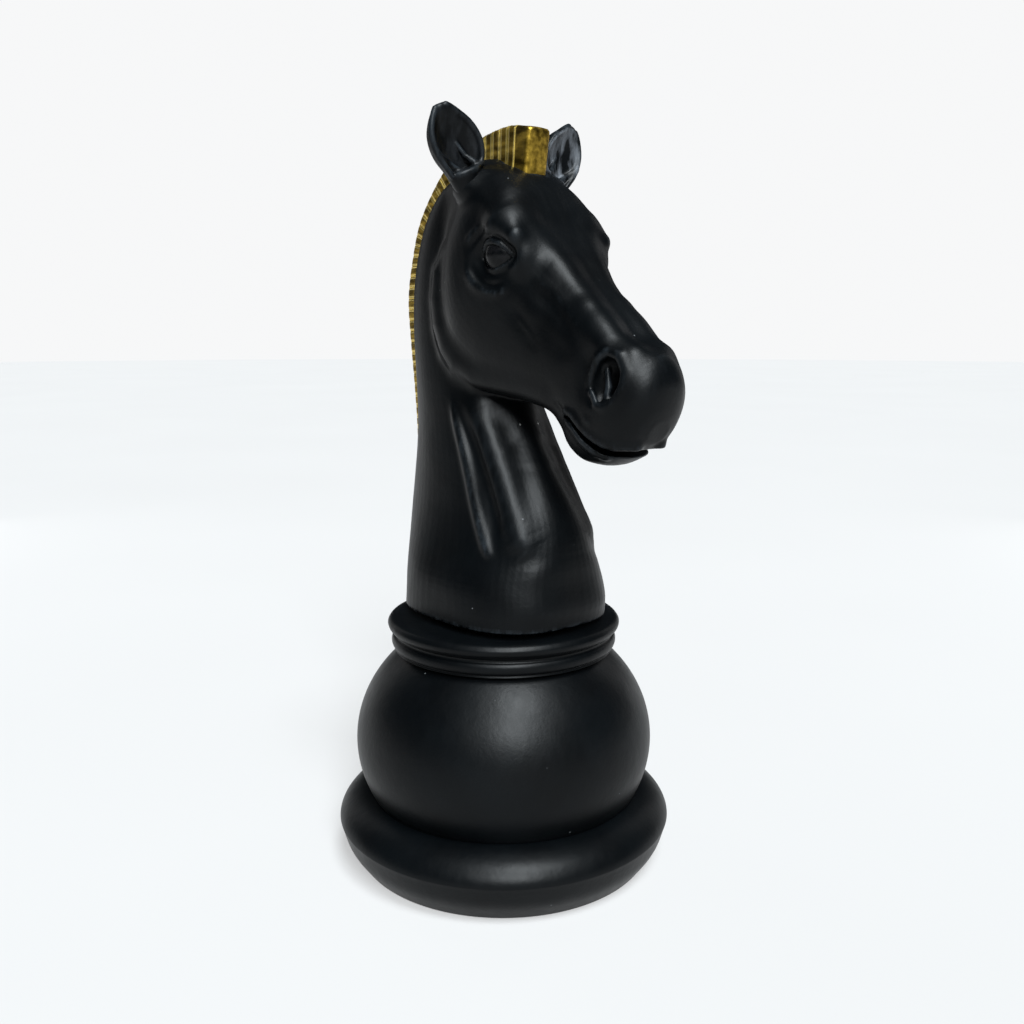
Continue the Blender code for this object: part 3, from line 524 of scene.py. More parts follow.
def level_set(points, quads, low=LOW, count=COUNT, grain=GRAIN):
    """How far each grid point is from a closed mesh, in millimetres."""
    spacing = openvdb.createLinearTransform(voxelSize=grain)
    moved = np.ascontiguousarray(np.array(points) - low, np.float32)
    quads = np.ascontiguousarray(quads, np.uint32)
    volume = openvdb.FloatGrid.createLevelSetFromPolygons(
        moved, quads=quads, transform=spacing, halfWidth=BAND / grain
    )
    field = np.full(count, BAND, np.float32)
    volume.copyToArray(field)
    return field


def surfaced(field, low, grain):
    """The zero level of a field as points, triangles and quads."""
    volume = openvdb.FloatGrid(BAND)
    volume.copyFromArray(np.ascontiguousarray(field, np.float32))
    volume.transform = openvdb.createLinearTransform(voxelSize=grain)
    points, triangles, quads = volume.convertToPolygons(0.0, 0.0)
    return points + low, triangles, quads


print("clay points:", int(COUNT.prod()))

# %% [markdown]
# ### Rough shape from sections
# The neck is a stack of level ovals and the head a fan of ovals that each run from the jaw
# to the face. Each oval has a squareness: 2 is an ellipse, and more is a rounded box. A row of
# the neck is height, back, front, half width, squareness; a row of the head is the jaw's x and
# z, the face's x and z, half width, squareness.

# %% Sections of the neck and the head
NECK = (
    (4, -69, 69, 57, 2.7), (17, -69, 70, 57, 2.6), (32, -71, 68, 55, 2.5),
    (53, -79, 67, 47, 2.3), (70, -82, 62, 42, 2.2), (86, -81, 54, 39, 2.2),
    (110, -78, 39, 36, 2.2), (130, -77, 28, 34, 2.2), (160, -77.5, 14, 33, 2.2),
    (190, -80, 8, 32, 2.2), (220, -79, 6, 31, 2.2), (245, -72, 5, 30, 2.2),
    (265, -62, 5, 28, 2.2), (280, -46, 5, 25, 2.2), (291, -24, 8, 19, 2.2),
)
HEAD = (
    (-18, 272, 4, 293, 25, 2.2), (-30, 231, 26, 288, 37, 2.3), (-30, 211, 39, 279, 42, 2.4),
    (-28, 189, 49, 265, 44, 2.5), (-21, 172, 56, 251, 44, 2.5), (-9, 159, 67, 237, 41, 2.4),
    (6, 149, 80, 224, 36.5, 2.4), (34, 145, 96, 209, 32, 2.4), (57, 140, 110, 196, 28.5, 2.4),
    (69, 128, 121, 185, 26.5, 2.3), (76, 115, 131, 180, 27, 2.2), (92, 111, 141, 174, 27, 2.2),
    (109, 112, 145.5, 161.5, 23.5, 2.2), (124, 120, 144, 148, 16, 2.1),
    (132, 126, 141, 139, 8, 2.0),
)
print("sections:", len(NECK), "for the neck,", len(HEAD), "for the head")

# %% [markdown]
# A smooth curve is drawn through the listed sections, so a dozen of them make forty. It is a
# Catmull-Rom curve, which passes through every row exactly, so a section can be corrected by
# its own numbers without any control points off the surface.

# %% Smooth curves
def through(points, steps):
    """A smooth curve through rows of numbers, with this many steps between each two."""
    rows = [np.array(point, float) for point in points]
    rows = [2 * rows[0] - rows[1]] + rows + [2 * rows[-1] - rows[-2]]
    curve = []
    for before, start, end, after in zip(rows, rows[1:], rows[2:], rows[3:]):
        for i in range(steps):
            t = i / steps
            bend = (2 * before - 5 * start + 4 * end - after) * t ** 2
            twist = (3 * start - before - 3 * end + after) * t ** 3
            curve.append(0.5 * (2 * start + (end - before) * t + bend + twist))
    return np.array(curve + [rows[-2]])


print("neck rows after smoothing:", len(through(NECK, 4)))

# %% [markdown]
# Each row becomes an oval of points, and neighbouring ovals are joined with quads. The result
# may be rough and may even cross itself: it is only asked how far each point of the block of
# clay is from it.

# %% Ovals and loft
ROUND = 72


def oval(start, end, half_width, power):
    """Points round a rounded oval that runs from start to end and is half_width to each side."""
    middle, half = (start + end) / 2, (end - start) / 2
    angles = 2 * np.pi * np.arange(ROUND) / ROUND
    along, across = np.cos(angles), np.sin(angles)
    along = np.sign(along) * np.abs(along) ** (2 / power)
    across = np.sign(across) * np.abs(across) ** (2 / power)
    side = np.array((0.0, half_width, 0.0))
    return middle + along[:, None] * half + across[:, None] * side


def loft(rings):
    """Quads between rings, with a fan of quads across each end."""
    points = [point for ring in rings for point in ring]
    quads = []
    for level in range(len(rings) - 1):
        for i in range(ROUND):
            a, b = level * ROUND + i, level * ROUND + (i + 1) % ROUND
            quads.append((a, b, b + ROUND, a + ROUND))
    for ring, start in ((rings[0], 0), (rings[-1], (len(rings) - 1) * ROUND)):
        middle = len(points)
        points.append(np.mean(ring, axis=0))
        for i in range(0, ROUND, 2):
            quads.append((middle, start + i, start + i + 1, start + (i + 2) % ROUND))
    return points, quads


def section(start_x, start_z, end_x, end_z, half_width, power):
    """An oval on the middle plane; heights are counted from the seat."""
    start = np.array((start_x, 0, start_z + SEAT))
    return oval(start, np.array((end_x, 0, end_z + SEAT)), half_width, power)


neck_rings = [section(back, up, front, up, *rest) for up, back, front, *rest in through(NECK, 4)]
head_rings = [section(*row) for row in through(HEAD, 4)]
neck_clay = level_set(*loft(neck_rings))
head_clay = level_set(*loft(head_rings))
print("clay inside the head:", int((head_clay < 0).sum() * GRAIN ** 3 / 1000), "cm3")

# %% [markdown]
# ### Tools for clay
# A lump of clay is a field of distances with a place and a grain. Every tool first picks the
# part of the block round its shape, which keeps it quick, and then joins the shape's own
# distances to the clay, with a soft fillet as wide as the number given. A carved shape is cut
# away with the same fillet.

# %% A lump of clay
class Clay:
    """A field of distances, where its first point lies, and how far apart the points are."""

    def __init__(self, field, low, grain):
        self.field, self.low, self.grain = field, np.array(low, float), grain

    def near(self, points, reach):
        """The part of the field round some points, and the places of its grid points."""
        points = np.array(points, float)
        first = np.floor((points.min(0) - reach - self.low) / self.grain).astype(int)
        last = np.ceil((points.max(0) + reach - self.low) / self.grain).astype(int) + 1
        first = np.clip(first, 0, self.field.shape)
        last = np.clip(last, 0, self.field.shape)
        part = tuple(slice(a, b) for a, b in zip(first, last))
        axes = [self.low[i] + self.grain * np.arange(first[i], last[i]) for i in range(3)]
        return part, np.meshgrid(*axes, indexing="ij", sparse=True)


def join(clay, part, shape, soft, carve=False):
    """The soft union with a shape's distances, or the soft cut by them."""
    field = clay.field[part]
    shape = -shape if carve else shape
    share = np.maximum(soft - np.abs(field - shape), 0) / max(soft, 1e-6)
    fillet = share ** 2 * soft / 4
    if carve:
        clay.field[part] = np.maximum(field, shape) + fillet
    else:
        clay.field[part] = np.minimum(field, shape) - fillet


print("clay can be joined and carved")

# %% [markdown]
# A pellet is an egg of clay, pushed on or scooped out. Its distance is an estimate that is
# exact at the surface and near enough beside it, which is all that a fillet needs.

# %% Pellet
def pellet(clay, place, reach, soft=4.0, tilt=0.0, carve=False):
    """An egg of clay: reach is its three half sizes, and tilt turns it nose down, in degrees."""
    part, (x, y, z) = clay.near([place], max(reach) + soft + 2)
    x, side, z = x - place[0], y - place[1], z - place[2]
    turn = math.radians(tilt)
    ahead = x * math.cos(turn) - z * math.sin(turn)
    up = z * math.cos(turn) + x * math.sin(turn)
    scaled = [value / size for value, size in zip((ahead, side, up), reach)]
    ring = np.sqrt(sum(value ** 2 for value in scaled)) + 1e-9
    slope = np.sqrt(sum((value / size) ** 2 for value, size in zip(scaled, reach))) + 1e-9
    join(clay, part, ring * (ring - 1) / slope, soft, carve)


print("pellet ready")

# %% [markdown]
# A rope is a tapering roll of clay laid along a line, for bones, lids, rims and lips. Most
# tools need the distance to such a line, so that has a helper of its own.

# %% Rope
def to_line(grid, points, *values):
    """Distance to a line of points, and the given values where the line is nearest."""
    x, y, z = grid
    best, found = None, None
    for i in range(len(points) - 1):
        start, run = points[i], points[i + 1] - points[i]
        along = (x - start[0]) * run[0] + (y - start[1]) * run[1] + (z - start[2]) * run[2]
        t = np.clip(along / max(float(run @ run), 1e-9), 0, 1)
        gap = (x - start[0] - run[0] * t) ** 2 + (y - start[1] - run[1] * t) ** 2
        gap = gap + (z - start[2] - run[2] * t) ** 2
        here = [value[i] + (value[i + 1] - value[i]) * t for value in values]
        if best is None:
            best, found = gap, here
            continue
        closer = gap < best
        best = np.where(closer, gap, best)
        found = [np.where(closer, new, old) for new, old in zip(here, found)]
    return np.sqrt(best), found


def rope(clay, line, soft=2.0, carve=False):
    """A tapering rope through points of x, y, z and radius."""
    line = np.array(line, float)
    part, grid = clay.near(line[:, :3], line[:, 3].max() + soft + 2)
    distance, (radius,) = to_line(grid, line[:, :3], line[:, 3])
    join(clay, part, distance - radius, soft, carve)


print("rope ready")

# %% [markdown]
# Press is the thumb: it raises or sinks the skin along a line drawn on the cheek, and fades
# out at both ends. The line is given as seen from the side, and the tool finds how far out
# the skin lies there. Adding to the distances moves the surface by just that much.

# %% Press
def skin(clay, x, z):
    """How far out the left cheek is at this x and z: the last inside point, then a fraction."""
    field = clay.field
    i = int(np.clip(round((x - clay.low[0]) / clay.grain), 0, field.shape[0] - 1))
    k = int(np.clip(round((z - clay.low[2]) / clay.grain), 0, field.shape[2] - 1))
    column = field[i, :, k]
    inside = np.nonzero(column < 0)[0]
    if not len(inside):
        return 0.0
    j = min(int(inside[-1]), len(column) - 2)
    return clay.low[1] + clay.grain * (j + column[j] / (column[j] - column[j + 1]))


def faded(count, fade):
    """Shares that rise from 0 over the first part of a line and fall again over the last."""
    spread = np.linspace(0, 1, count)
    taper = np.clip(np.minimum(spread, 1 - spread) / fade, 0, 1)
    return taper * taper * (3 - 2 * taper)


def press(clay, line, height, width, fade=0.35):
    """Raises the skin by height, or sinks it if negative, along points of x and z."""
    points = np.array([(x, skin(clay, x, z), z) for x, z in through(line, 4)])
    part, grid = clay.near(points, width * 2.4 + abs(height))
    distance, (share,) = to_line(grid, points, faded(len(points), fade))
    clay.field[part] -= height * share * np.exp(-(distance / width) ** 2)


print("press ready")

# %% [markdown]
# Press can't reach an outline, because there the skin turns away from the line. Trim does the
# same through the whole width, so it moves the outline as seen from the side.

# %% Trim
HALF_WIDTH = 60.0


def trim(clay, line, height, width):
    """Moves an outline seen from the side out by height, or in if negative."""
    points = np.array([(x, 0.0, z) for x, z in through(line, 4)])
    reached = list(points) + [(points[0][0], HALF_WIDTH, points[0][2])]
    part, (x, _, z) = clay.near(reached, width * 2.4)
    distance, (share,) = to_line((x, 0.0, z), points, faded(len(points), 0.25))
    clay.field[part] -= height * share * np.exp(-(distance / width) ** 2)


print("trim ready")

# %% [markdown]
# ### Head on neck
# Under the jaw the two meet in a deep crisp fold, and at the poll, behind the ears, they
# flow together. So the softness of this one join grows with height.

# %% Join the head to the neck
JAW_SOFT, POLL_SOFT = 2.0, 16.0
JAW_HEIGHT, POLL_HEIGHT = 385.0, 445.0


def softly(first, second, soft):
    """The soft union of two whole fields, where soft may differ from place to place."""
    share = np.maximum(soft - np.abs(first - second), 0) / soft
    return np.minimum(first, second) - share ** 2 * soft / 4


lift = np.clip((AXES[2] - JAW_HEIGHT) / (POLL_HEIGHT - JAW_HEIGHT), 0, 1)[None, None, :]
clay = Clay(softly(neck_clay, head_clay, JAW_SOFT + (POLL_SOFT - JAW_SOFT) * lift), LOW, GRAIN)
full_levels = np.nonzero((clay.field < 0).any((0, 1)))[0]
print("lowest point of the bust:", round(float(AXES[2][full_levels[0]]), 1), "mm")

# %% [markdown]
# ### Forehead, brow and nose bones
# Between the ears the forehead is a broad plane that narrows to the nose. Two bone ridges
# run down the front of the face and catch the light. The brow juts out over each eye. A
# pellet is given by its middle and half sizes, a rope by x, y, z and radius at each point, and
# a press or a trim by x and z at each point, its height and its width. A number after these
# is how soft the join is. All are in millimetres.

# %% Forehead, brow and nose
pellet(clay, (20, 17, 438.5), (17, 15, 12.5), 12, tilt=40)
pellet(clay, (5, 33, 445.5), (11, 8, 7), 8)
pellet(clay, (9, 25, 451), (8, 7, 6), 6)
rope(clay, [(12, 27, 435, 5), (28, 30, 428.5, 7), (41, 34.5, 421.5, 9), (53, 35.5, 414, 6.2)], 9)
pellet(clay, (55, 30, 401), (7, 7.5, 10), 8)
pellet(clay, (43, 28, 422), (9, 9, 8), 9)
pellet(clay, (38, 35, 420), (8, 7, 6.5), 6)
rope(clay, [
    (34, 24, 431, 9.5), (50, 20.5, 413, 7.5), (66, 15.5, 396, 6.5), (85, 13, 376.5, 6.5),
    (102, 12.5, 359.5, 6.5),
], 12)
trim(clay, [(70, 399), (82, 389), (94, 378), (106, 366), (118, 355), (128, 350)], -2.0, 13)
rope(clay, [(92, 14, 368, 6), (102, 16, 358, 6.5), (110, 17.5, 351, 6)], 9)
rope(clay, [(102, 12.5, 360, 6), (114, 12, 350.5, 7), (126, 11.5, 345, 6.5)], 8)
press(clay, [(60, 389), (73, 378), (86, 366), (97, 354)], -1.5, 7)
print("face worked")

# %% [markdown]
# ### Eye sockets and lids
# A hollow is carved for the eyeball, deepest at its front corner under the brow. The lids
# are tapered ropes laid on the ball itself: each point is lifted onto a sphere just larger
# than the eye, so the lids fit it however it is placed.

# %% Eyes in the clay
EYE = np.array((38.5, 31.0, 404.0))
EYE_RADIUS = 12.0
OPENING = ((38.6, 396.9, 13.6), (38.6, 410.4, 14.4))  # where two discs overlap: x, z, radius
OPENING_DEPTH = 1.2


def on_eye(x, z, thick, proud=0.4):
    """A point of a lid, lifted onto the eyeball, and the lid's thickness there."""
    across = (EYE_RADIUS + proud) ** 2 - (x - EYE[0]) ** 2 - (z - EYE[2]) ** 2
    return (x, EYE[1] + math.sqrt(max(across, 4.0)), z, thick)


pellet(clay, (36, 45, 403), (15, 8.5, 11.5), 6, tilt=-8, carve=True)
pellet(clay, (50, 39.5, 403.5), (6, 6, 5), 4, tilt=20, carve=True)
pellet(clay, EYE, (EYE_RADIUS + 0.9,) * 3, 2.5)
part, (x, y, z) = clay.near([EYE], EYE_RADIUS + 3)
above, below = (np.hypot(x - px, z - pz) - radius for px, pz, radius in OPENING)
ball_face = np.sqrt((x - EYE[0]) ** 2 + (y - EYE[1]) ** 2 + (z - EYE[2]) ** 2)
opening = np.maximum(np.maximum(above, below) + 0 * y, EYE_RADIUS - OPENING_DEPTH - ball_face)
join(clay, part, np.maximum(opening, EYE[1] + 2 - y), 0.8, carve=True)
upper = [
    (26.6, 402, 0.9), (29, 406.8, 1.5), (33.2, 410.6, 2.0), (39, 411.8, 2.1),
    (44.8, 409.8, 1.7), (50, 403.8, 1.1),
]
lower = [
    (26.6, 402, 0.9), (29, 398.2, 1.0), (33.2, 395.3, 1.1), (39, 394.6, 1.1),
    (44.8, 396.4, 1.0), (50, 401, 0.8),
]
rope(clay, [on_eye(*row) for row in upper], 1.2)
rope(clay, [on_eye(*row) for row in lower], 1.2)
press(clay, [(16, 405), (22, 412), (30, 418.5), (36, 420)], -1.3, 2.2)
press(clay, [(14, 411), (21, 417), (29, 423)], 0.8, 2.6)
press(clay, [(17, 402), (23, 394), (31, 388), (40, 386), (47, 389)], -1.5, 2.4)
press(clay, [(13, 400), (21, 390), (31, 383.5), (42, 382.5), (51, 388)], 1.1, 3.4)
press(clay, [(36, 381.5), (43, 381), (50, 386)], 0.6, 2.0)
print("eyeball radius:", EYE_RADIUS, "mm")

# %% [markdown]
# ### Cheek and jaw
# The cheek is a round plate whose edge stands proud of the neck. A rope of clay thickens
# that edge, and a fine cut behind it makes the fold dark. A faint ridge runs forward from
# under the eye, with a hollow below it.

# %% Cheek and jaw
jowl = [
    (-19, 30, 406, 3), (-24, 31, 396, 5.5), (-24.5, 31, 380, 7), (-21.5, 31, 364, 7.5),
    (-15.5, 30.5, 350, 7.5), (-7, 29, 340, 7.5), (6, 26.5, 332.5, 7), (23, 23, 329.5, 6.5),
    (45, 20, 326.5, 5.5), (64, 18, 322.5, 5),
]
rope(clay, jowl, 11)
press(clay, [
    (-31.4, 404), (-32.6, 394), (-32.4, 378), (-30, 361), (-24.2, 347.5), (-15, 336.5),
    (-4, 328.5),
], -2.4, 1.5)
press(clay, [(56, 392), (68, 386), (80, 376), (92, 364), (102, 354)], 1.3, 4.5)
press(clay, [(44, 378), (54, 369), (64, 356), (70, 342)], -1.3, 6)
press(clay, [(62, 368), (72, 362), (84, 350), (92, 340)], -1.2, 7)
press(clay, [(50, 371), (60, 361), (66, 352)], 0.5, 1.6)
print("cheek worked")

# %% [markdown]
# ### Nostrils and mouth
# The muzzle swells round each nostril. The hole is carved deep, its rim is a rope that
# starts over the top and curls back inside itself, as a horse's does.

# %% Nostrils
pellet(clay, (118, 15.5, 333), (13, 9, 15), 9, tilt=20)
pellet(clay, (117.5, 27, 333), (9.8, 13, 14), 3, tilt=18, carve=True)
pellet(clay, (112, 26, 325), (5.5, 9, 8), 3, carve=True)
rim = [
    (107, 23.6, 336, 1.3), (110.5, 23.6, 344, 1.8), (117, 22.0, 348, 2.4),
    (124.5, 20.4, 345.5, 2.8), (129.3, 19.6, 337, 2.8), (129.3, 20.8, 328, 2.3),
    (125, 23.0, 320, 2.0), (118.5, 24.8, 316.4, 1.9), (112, 25.6, 318.4, 1.8),
    (107.4, 25.0, 325, 1.6),
]
rope(clay, rim, 2.5)
rope(clay, [
    (111.5, 17.5, 341, 1.2), (114, 18.8, 334, 1.8), (116.5, 20.6, 327, 2.2),
    (116.5, 22.6, 320, 2.2),
], 2.2)
press(clay, [(98, 350), (102, 340), (102, 328), (106, 316)], -0.9, 4)
print("nostril worked")

# %% [markdown]
# The mouth is a long thin cut with a roll of lip above and below it. On the real piece it was
# pressed into the clay with a blade, so it only goes a little way in: the cut is limited to a
# depth below the skin. The last strokes bring the outline of the muzzle and chin into line.

# %% Mouth
SLIT = (
    (84, 310.5, 0.5), (90, 308.6, 0.9), (96, 303.4, 1.4), (101, 298.8, 1.9), (107, 294.6, 2.3),
    (113, 291.6, 2.4), (120, 290.0, 2.2), (130, 290.0, 2.0), (152, 292.0, 2.0),
)
SLIT_DEPTH = 11.0
LIP_SUNK = 0.75
upper_lip = [
    (86, 313.5, 1.2), (93, 310.6, 2.2), (99, 305.6, 2.8), (105, 301, 3.2), (112, 297.2, 3.6),
    (119, 295.6, 4.0), (127, 294.9, 4.6),
]
lower_lip = [
    (86, 307.0, 1.0), (92, 303.6, 1.7), (97, 298.2, 2.2), (102, 293.4, 2.4), (107, 289.8, 2.2),
    (111, 287.8, 1.6),
]
for row in (upper_lip, lower_lip):
    sunk = [(x, skin(clay, x, z) - thick * LIP_SUNK, z, thick) for x, z, thick in row]
    rope(clay, sunk, 3.5)
part, (x, y, z) = clay.near([(SLIT[0][0], 0, 284), (SLIT[-1][0], 40, 316)], 4)
flat = np.array([(px, 0.0, pz) for px, pz, _ in SLIT])
gap, (half,) = to_line((x, 0.0 * x, z), flat, np.array([row[2] for row in SLIT]))
join(clay, part, np.maximum(gap - half + 0 * y, -clay.field[part] - SLIT_DEPTH), 1.0, carve=True)
rope(clay, [
    (131, -8, 283.6, 8), (131, 4, 283.6, 8), (128, 12, 283.6, 8), (122, 22, 283.6, 8),
], 2, carve=True)
trim(clay, [
    (140, 356), (147, 350), (152, 341), (155, 327), (151, 311), (145, 301), (136, 294),
], -3.3, 8)
trim(clay, [(52, 312), (58, 303), (65, 294), (73, 286), (86, 280)], -4.2, 7)
press(clay, [(76, 320), (80, 315), (84, 311)], -0.9, 2.5)
press(clay, [(100, 312), (106, 308), (111, 305)], 0.5, 2.2)
print("mouth from", SLIT[0][:2], "to the front")

# %% [markdown]
# ### Neck
# Two long folds of muscle run from behind the jaw down to the breast: a broad one with a
# rounded end, and a sharp narrow one beside it, with a furrow between them. The trims bring
# the throat, the breast and the back into line.

# %% Neck
press(clay, [
    (-8, 322), (1, 313), (11, 299), (20, 284), (29, 269), (38, 254), (46, 239), (54, 227),
    (59, 220),
], 4.2, 10.5, 0.26)
press(clay, [(44, 246), (50, 236), (56, 226), (60, 216)], 1.2, 8, 0.5)
press(clay, [(8, 322), (16, 310), (26, 295), (35, 280), (44, 264), (52, 248), (60, 232)], -2.6, 9)
trim(clay, [(62, 222), (66, 206), (69, 190), (69, 176)], 1.3, 8)
trim(clay, [(-67, 170), (-68, 186), (-71, 202), (-78, 222)], 1.6, 7)
trim(clay, [
    (-78, 262), (-78.5, 290), (-79, 320), (-81, 350), (-82.5, 380), (-79, 405), (-70, 430),
    (-57, 448),
], -2.2, 6)
press(clay, [
    (-16, 320), (-8, 301), (0, 284), (8, 267), (16, 250), (25, 235), (33, 224), (38, 217),
], 4.4, 3.2, 0.2)
press(clay, [
    (-10, 316), (2, 298), (12, 281), (21, 266), (29, 251), (36, 237), (42, 226),
], -3.2, 4.5, 0.28)
print("folds worked")

# %% [markdown]
# The strip down the nape is a plain bar that follows the back. It is lofted from four-cornered
# rings and joined to the neck with a small fillet, so its edges stay crisp.

# %% Strip down the nape
STRIP_BACK = (
    (-68, 172), (-69.6, 186), (-71.6, 201), (-79.4, 223), (-82.8, 240), (-81.6, 258),
    (-78, 280), (-77, 300),
)
STRIP_HALF, STRIP_PROUD, STRIP_DEEP, STRIP_SOFT = 9, 0.4, 14, 1.2


def back_strip():
    """A flat-backed strip down the nape, below the mane."""
    points = []
    for x, z in through(STRIP_BACK, 6):
        back, front = x - STRIP_PROUD, x + STRIP_DEEP
        corners = (
            (back, -STRIP_HALF), (back, STRIP_HALF), (front, STRIP_HALF), (front, -STRIP_HALF),
        )
        points += [(px, py, z) for px, py in corners]
    quads = [(0, 3, 2, 1), tuple(len(points) - 4 + i for i in range(4))]
    for level in range(len(points) // 4 - 1):
        for i in range(4):
            a, b = level * 4 + i, level * 4 + (i + 1) % 4
            quads.append((a, b, b + 4, a + 4))
    return level_set(points, quads)


clay.field = softly(clay.field, back_strip(), STRIP_SOFT)
print("strip of", 2 * STRIP_HALF, "mm down the nape")

# %% [markdown]
# ## Mane
# The mane is a thick gilt band that stands on the crest, cut across by narrow grooves. Two
# curves, its outer and its inner edge, are drawn at the same steps, so that each groove
# runs from one to the other and leans as the band bends. The lips of a groove are raised a
# hair, because a blade pushes the metal up beside its cut.

# %% Edges and sizes of the mane
MANE_OUTER = (
    (-89, 76), (-88, 92), (-87.5, 119), (-90, 149), (-94, 183), (-96, 211), (-91, 236),
    (-79, 266), (-52, 295), (-30, 305), (-11, 311), (14, 314), (36, 311),
)
MANE_INNER = (
    (-86, 75), (-81.5, 92), (-78.5, 119), (-77.5, 149), (-80, 183), (-81.5, 211), (-78, 236),
    (-69, 259), (-44, 284), (-26, 292), (-11, 295), (13, 292), (32, 285),
)
MANE_HALF = 9.0
MANE_SINK = 3.5
GROOVE_PITCH = 7.6
GROOVE_DEPTH = 0.5
LIP_HEIGHT = 0.28
PLAIN_START, PLAIN_END = 4.0, 13.0
CUT_WIDTH, LIP_WIDTH, LIP_PLACE = 0.55, 0.42, 1.15
END_ROUND, END_NARROW, END_DROP = 3.0, 0.28, 1.2
CORNER = 1.8
CROWN = 0.5
MANE_SHARP = math.radians(55)
print("mane is", 2 * MANE_HALF, "mm wide, grooves every", GROOVE_PITCH, "mm")

# %% [markdown]
# A ring of points goes round the band at each step. Each point knows whether it faces sideways
# or up, because a groove cuts into the sides as well as the top.

# %% Section of the mane
def mane_section(height):
    """Points across the band: y, height above the inner edge, and whether it faces sideways."""
    half = [(MANE_HALF, level, 1.0) for level in np.linspace(-MANE_SINK, height - CORNER, 7)]
    for angle in (math.pi / 2 * i / 5 for i in range(1, 5)):
        inward, down = CORNER * (1 - math.cos(angle)), CORNER * (1 - math.sin(angle))
        half.append((MANE_HALF - inward, height - down, math.cos(angle)))
    for y in np.linspace(MANE_HALF - CORNER, 0, 6):
        half.append((y, height + CROWN * (1 - (y / MANE_HALF) ** 2), 0.0))
    return half + [(-y, level, face) for y, level, face in half[-2::-1]]


def groove_at(length, total):
    """How much of a cut and of a raised lip there is, this far along the band."""
    from_groove = abs((length + GROOVE_PITCH / 2) % GROOVE_PITCH - GROOVE_PITCH / 2)
    present = 1.0 if PLAIN_START < length < total - PLAIN_END else 0.0
    cut = present * math.exp(-(from_groove / CUT_WIDTH) ** 2)
    return cut, present * math.exp(-((from_groove - LIP_PLACE) / LIP_WIDTH) ** 2)


print("points across the mane:", len(mane_section(20.0)))

# %% [markdown]
# The rings follow both edges. Towards the blunt end on the forehead the band narrows and
# drops over the last few millimetres, so the end has a round edge and not a sawn one.

# %% Rings of the mane
def mane_rings():
    """Rings of points, and each point's share of a cut and of a lip."""
    steps = 64
    outer, inner = through(MANE_OUTER, steps), through(MANE_INNER, steps)
    stretches = np.linalg.norm(np.diff(outer, axis=0), axis=1)
    travelled = np.concatenate(((0,), np.cumsum(stretches)))
    total = travelled[-1]
    rings, cuts, lips = [], [], []
    for here, below, length in zip(outer, inner, travelled):
        rise = here - below
        height = float(np.linalg.norm(rise))
        up = rise / height
        cut, lip = groove_at(length, total)
        depth = GROOVE_DEPTH * cut - LIP_HEIGHT * lip
        rest = 1 - min((total - length) / END_ROUND, 1.0)
        narrow = 1 - END_NARROW + END_NARROW * math.sqrt(max(0.0, 1 - rest ** 2))
        ring = []
        for y, level, face in mane_section(height):
            y = (y - math.copysign(depth * face, y)) * narrow
            level = level - depth * (1 - face) - rest ** 2 * END_DROP * (level > 1)
            place = below + up * level
            ring.append((place[0], y, place[1] + SEAT))
        rings.append(ring)
        cuts += [cut] * len(ring)
        lips += [lip] * len(ring)
    return rings, cuts, lips


rings, cuts, lips = mane_rings()
print("rings along the mane:", len(rings))

# %% [markdown]
# The rings are joined with quads and closed with one flat face at each end. The shares of cut
# and lip go onto the vertices, where the gilding reads them for the painted light in the cuts
# and the painted highlight on the lips.

# %% Mane
def mane_faces(rings):
    """All points in one row, and the faces between rings and across the ends."""
    points = [point for ring in rings for point in ring]
    size = len(rings[0])
    faces = [tuple(range(size)), tuple(range(len(points) - 1, len(points) - size - 1, -1))]
    for level in range(len(rings) - 1):
        for i in range(size):
            a, b = level * size + i, level * size + (i + 1) % size
            faces.append((a, a + size, b + size, b))
    return points, faces


mane_points, band_faces = mane_faces(rings)
mane_mesh = bpy.data.meshes.new("mane_gilt")
mane_mesh.from_pydata([(x * MM, y * MM, z * MM) for x, y, z in mane_points], [], band_faces)
stored(mane_mesh, "groove", cuts)
stored(mane_mesh, "lip", lips)
mane_mesh.materials.append(gold)
mane_mesh.shade_smooth()
mane_mesh.set_sharp_from_angle(angle=MANE_SHARP)
stands_for(placed("mane_gilt", mane_mesh), "mane_crest")
print("mane faces:", len(mane_mesh.polygons))

# %% [markdown]
# The bust has a channel for the band, with a hair of room all round it. The band's own mesh is
# turned into distances once more and taken out of the clay, so the two always fit.

# %% Channel for the mane
CHANNEL_ROOM = 0.35
triangulated = bmesh.new()
triangulated.from_mesh(mane_mesh)
large = [face for face in triangulated.faces if len(face.verts) > 4]
bmesh.ops.triangulate(triangulated, faces=large)
corners = [[vertex.index for vertex in face.verts] for face in triangulated.faces]
triangulated.free()
band = level_set(mane_points, [face if len(face) == 4 else face + face[-1:] for face in corners])
clay.field = np.maximum(clay.field, CHANNEL_ROOM - band)
print("channel cut")

# %% [markdown]
# ## From clay to mesh
# The bend of the surface is measured from the field: where distances spread out the surface
# is an edge, and where they crowd together it is a crease. The paint wears on the first and
# stays dark in the second. The field is calmed a little first, or its grain would show.

# %% Bend of a surface
def bend_of(field, grain):
    """How sharply the surface bends at each grid point: convex is positive."""
    calm = field.copy()
    for _ in range(2):
        for axis in range(3):
            calm = (np.roll(calm, 1, axis) + 2 * calm + np.roll(calm, -1, axis)) / 4
    total = -6 * calm
    for axis in range(3):
        total += np.roll(calm, 1, axis) + np.roll(calm, -1, axis)
    return total / grain ** 2


print("bend is measured in 1/mm")

# %% [markdown]
# The zero level of the field becomes the mesh. Each vertex takes its bend from the nearest
# grid point.

# %% Mesh from clay
def cells_of(points, low, grain, shape):
    """The grid point nearest to each point, as an index into a field of this shape."""
    cells = np.round((points - low) / grain).astype(int)
    return tuple(np.clip(cells, 0, np.array(shape) - 1).T)


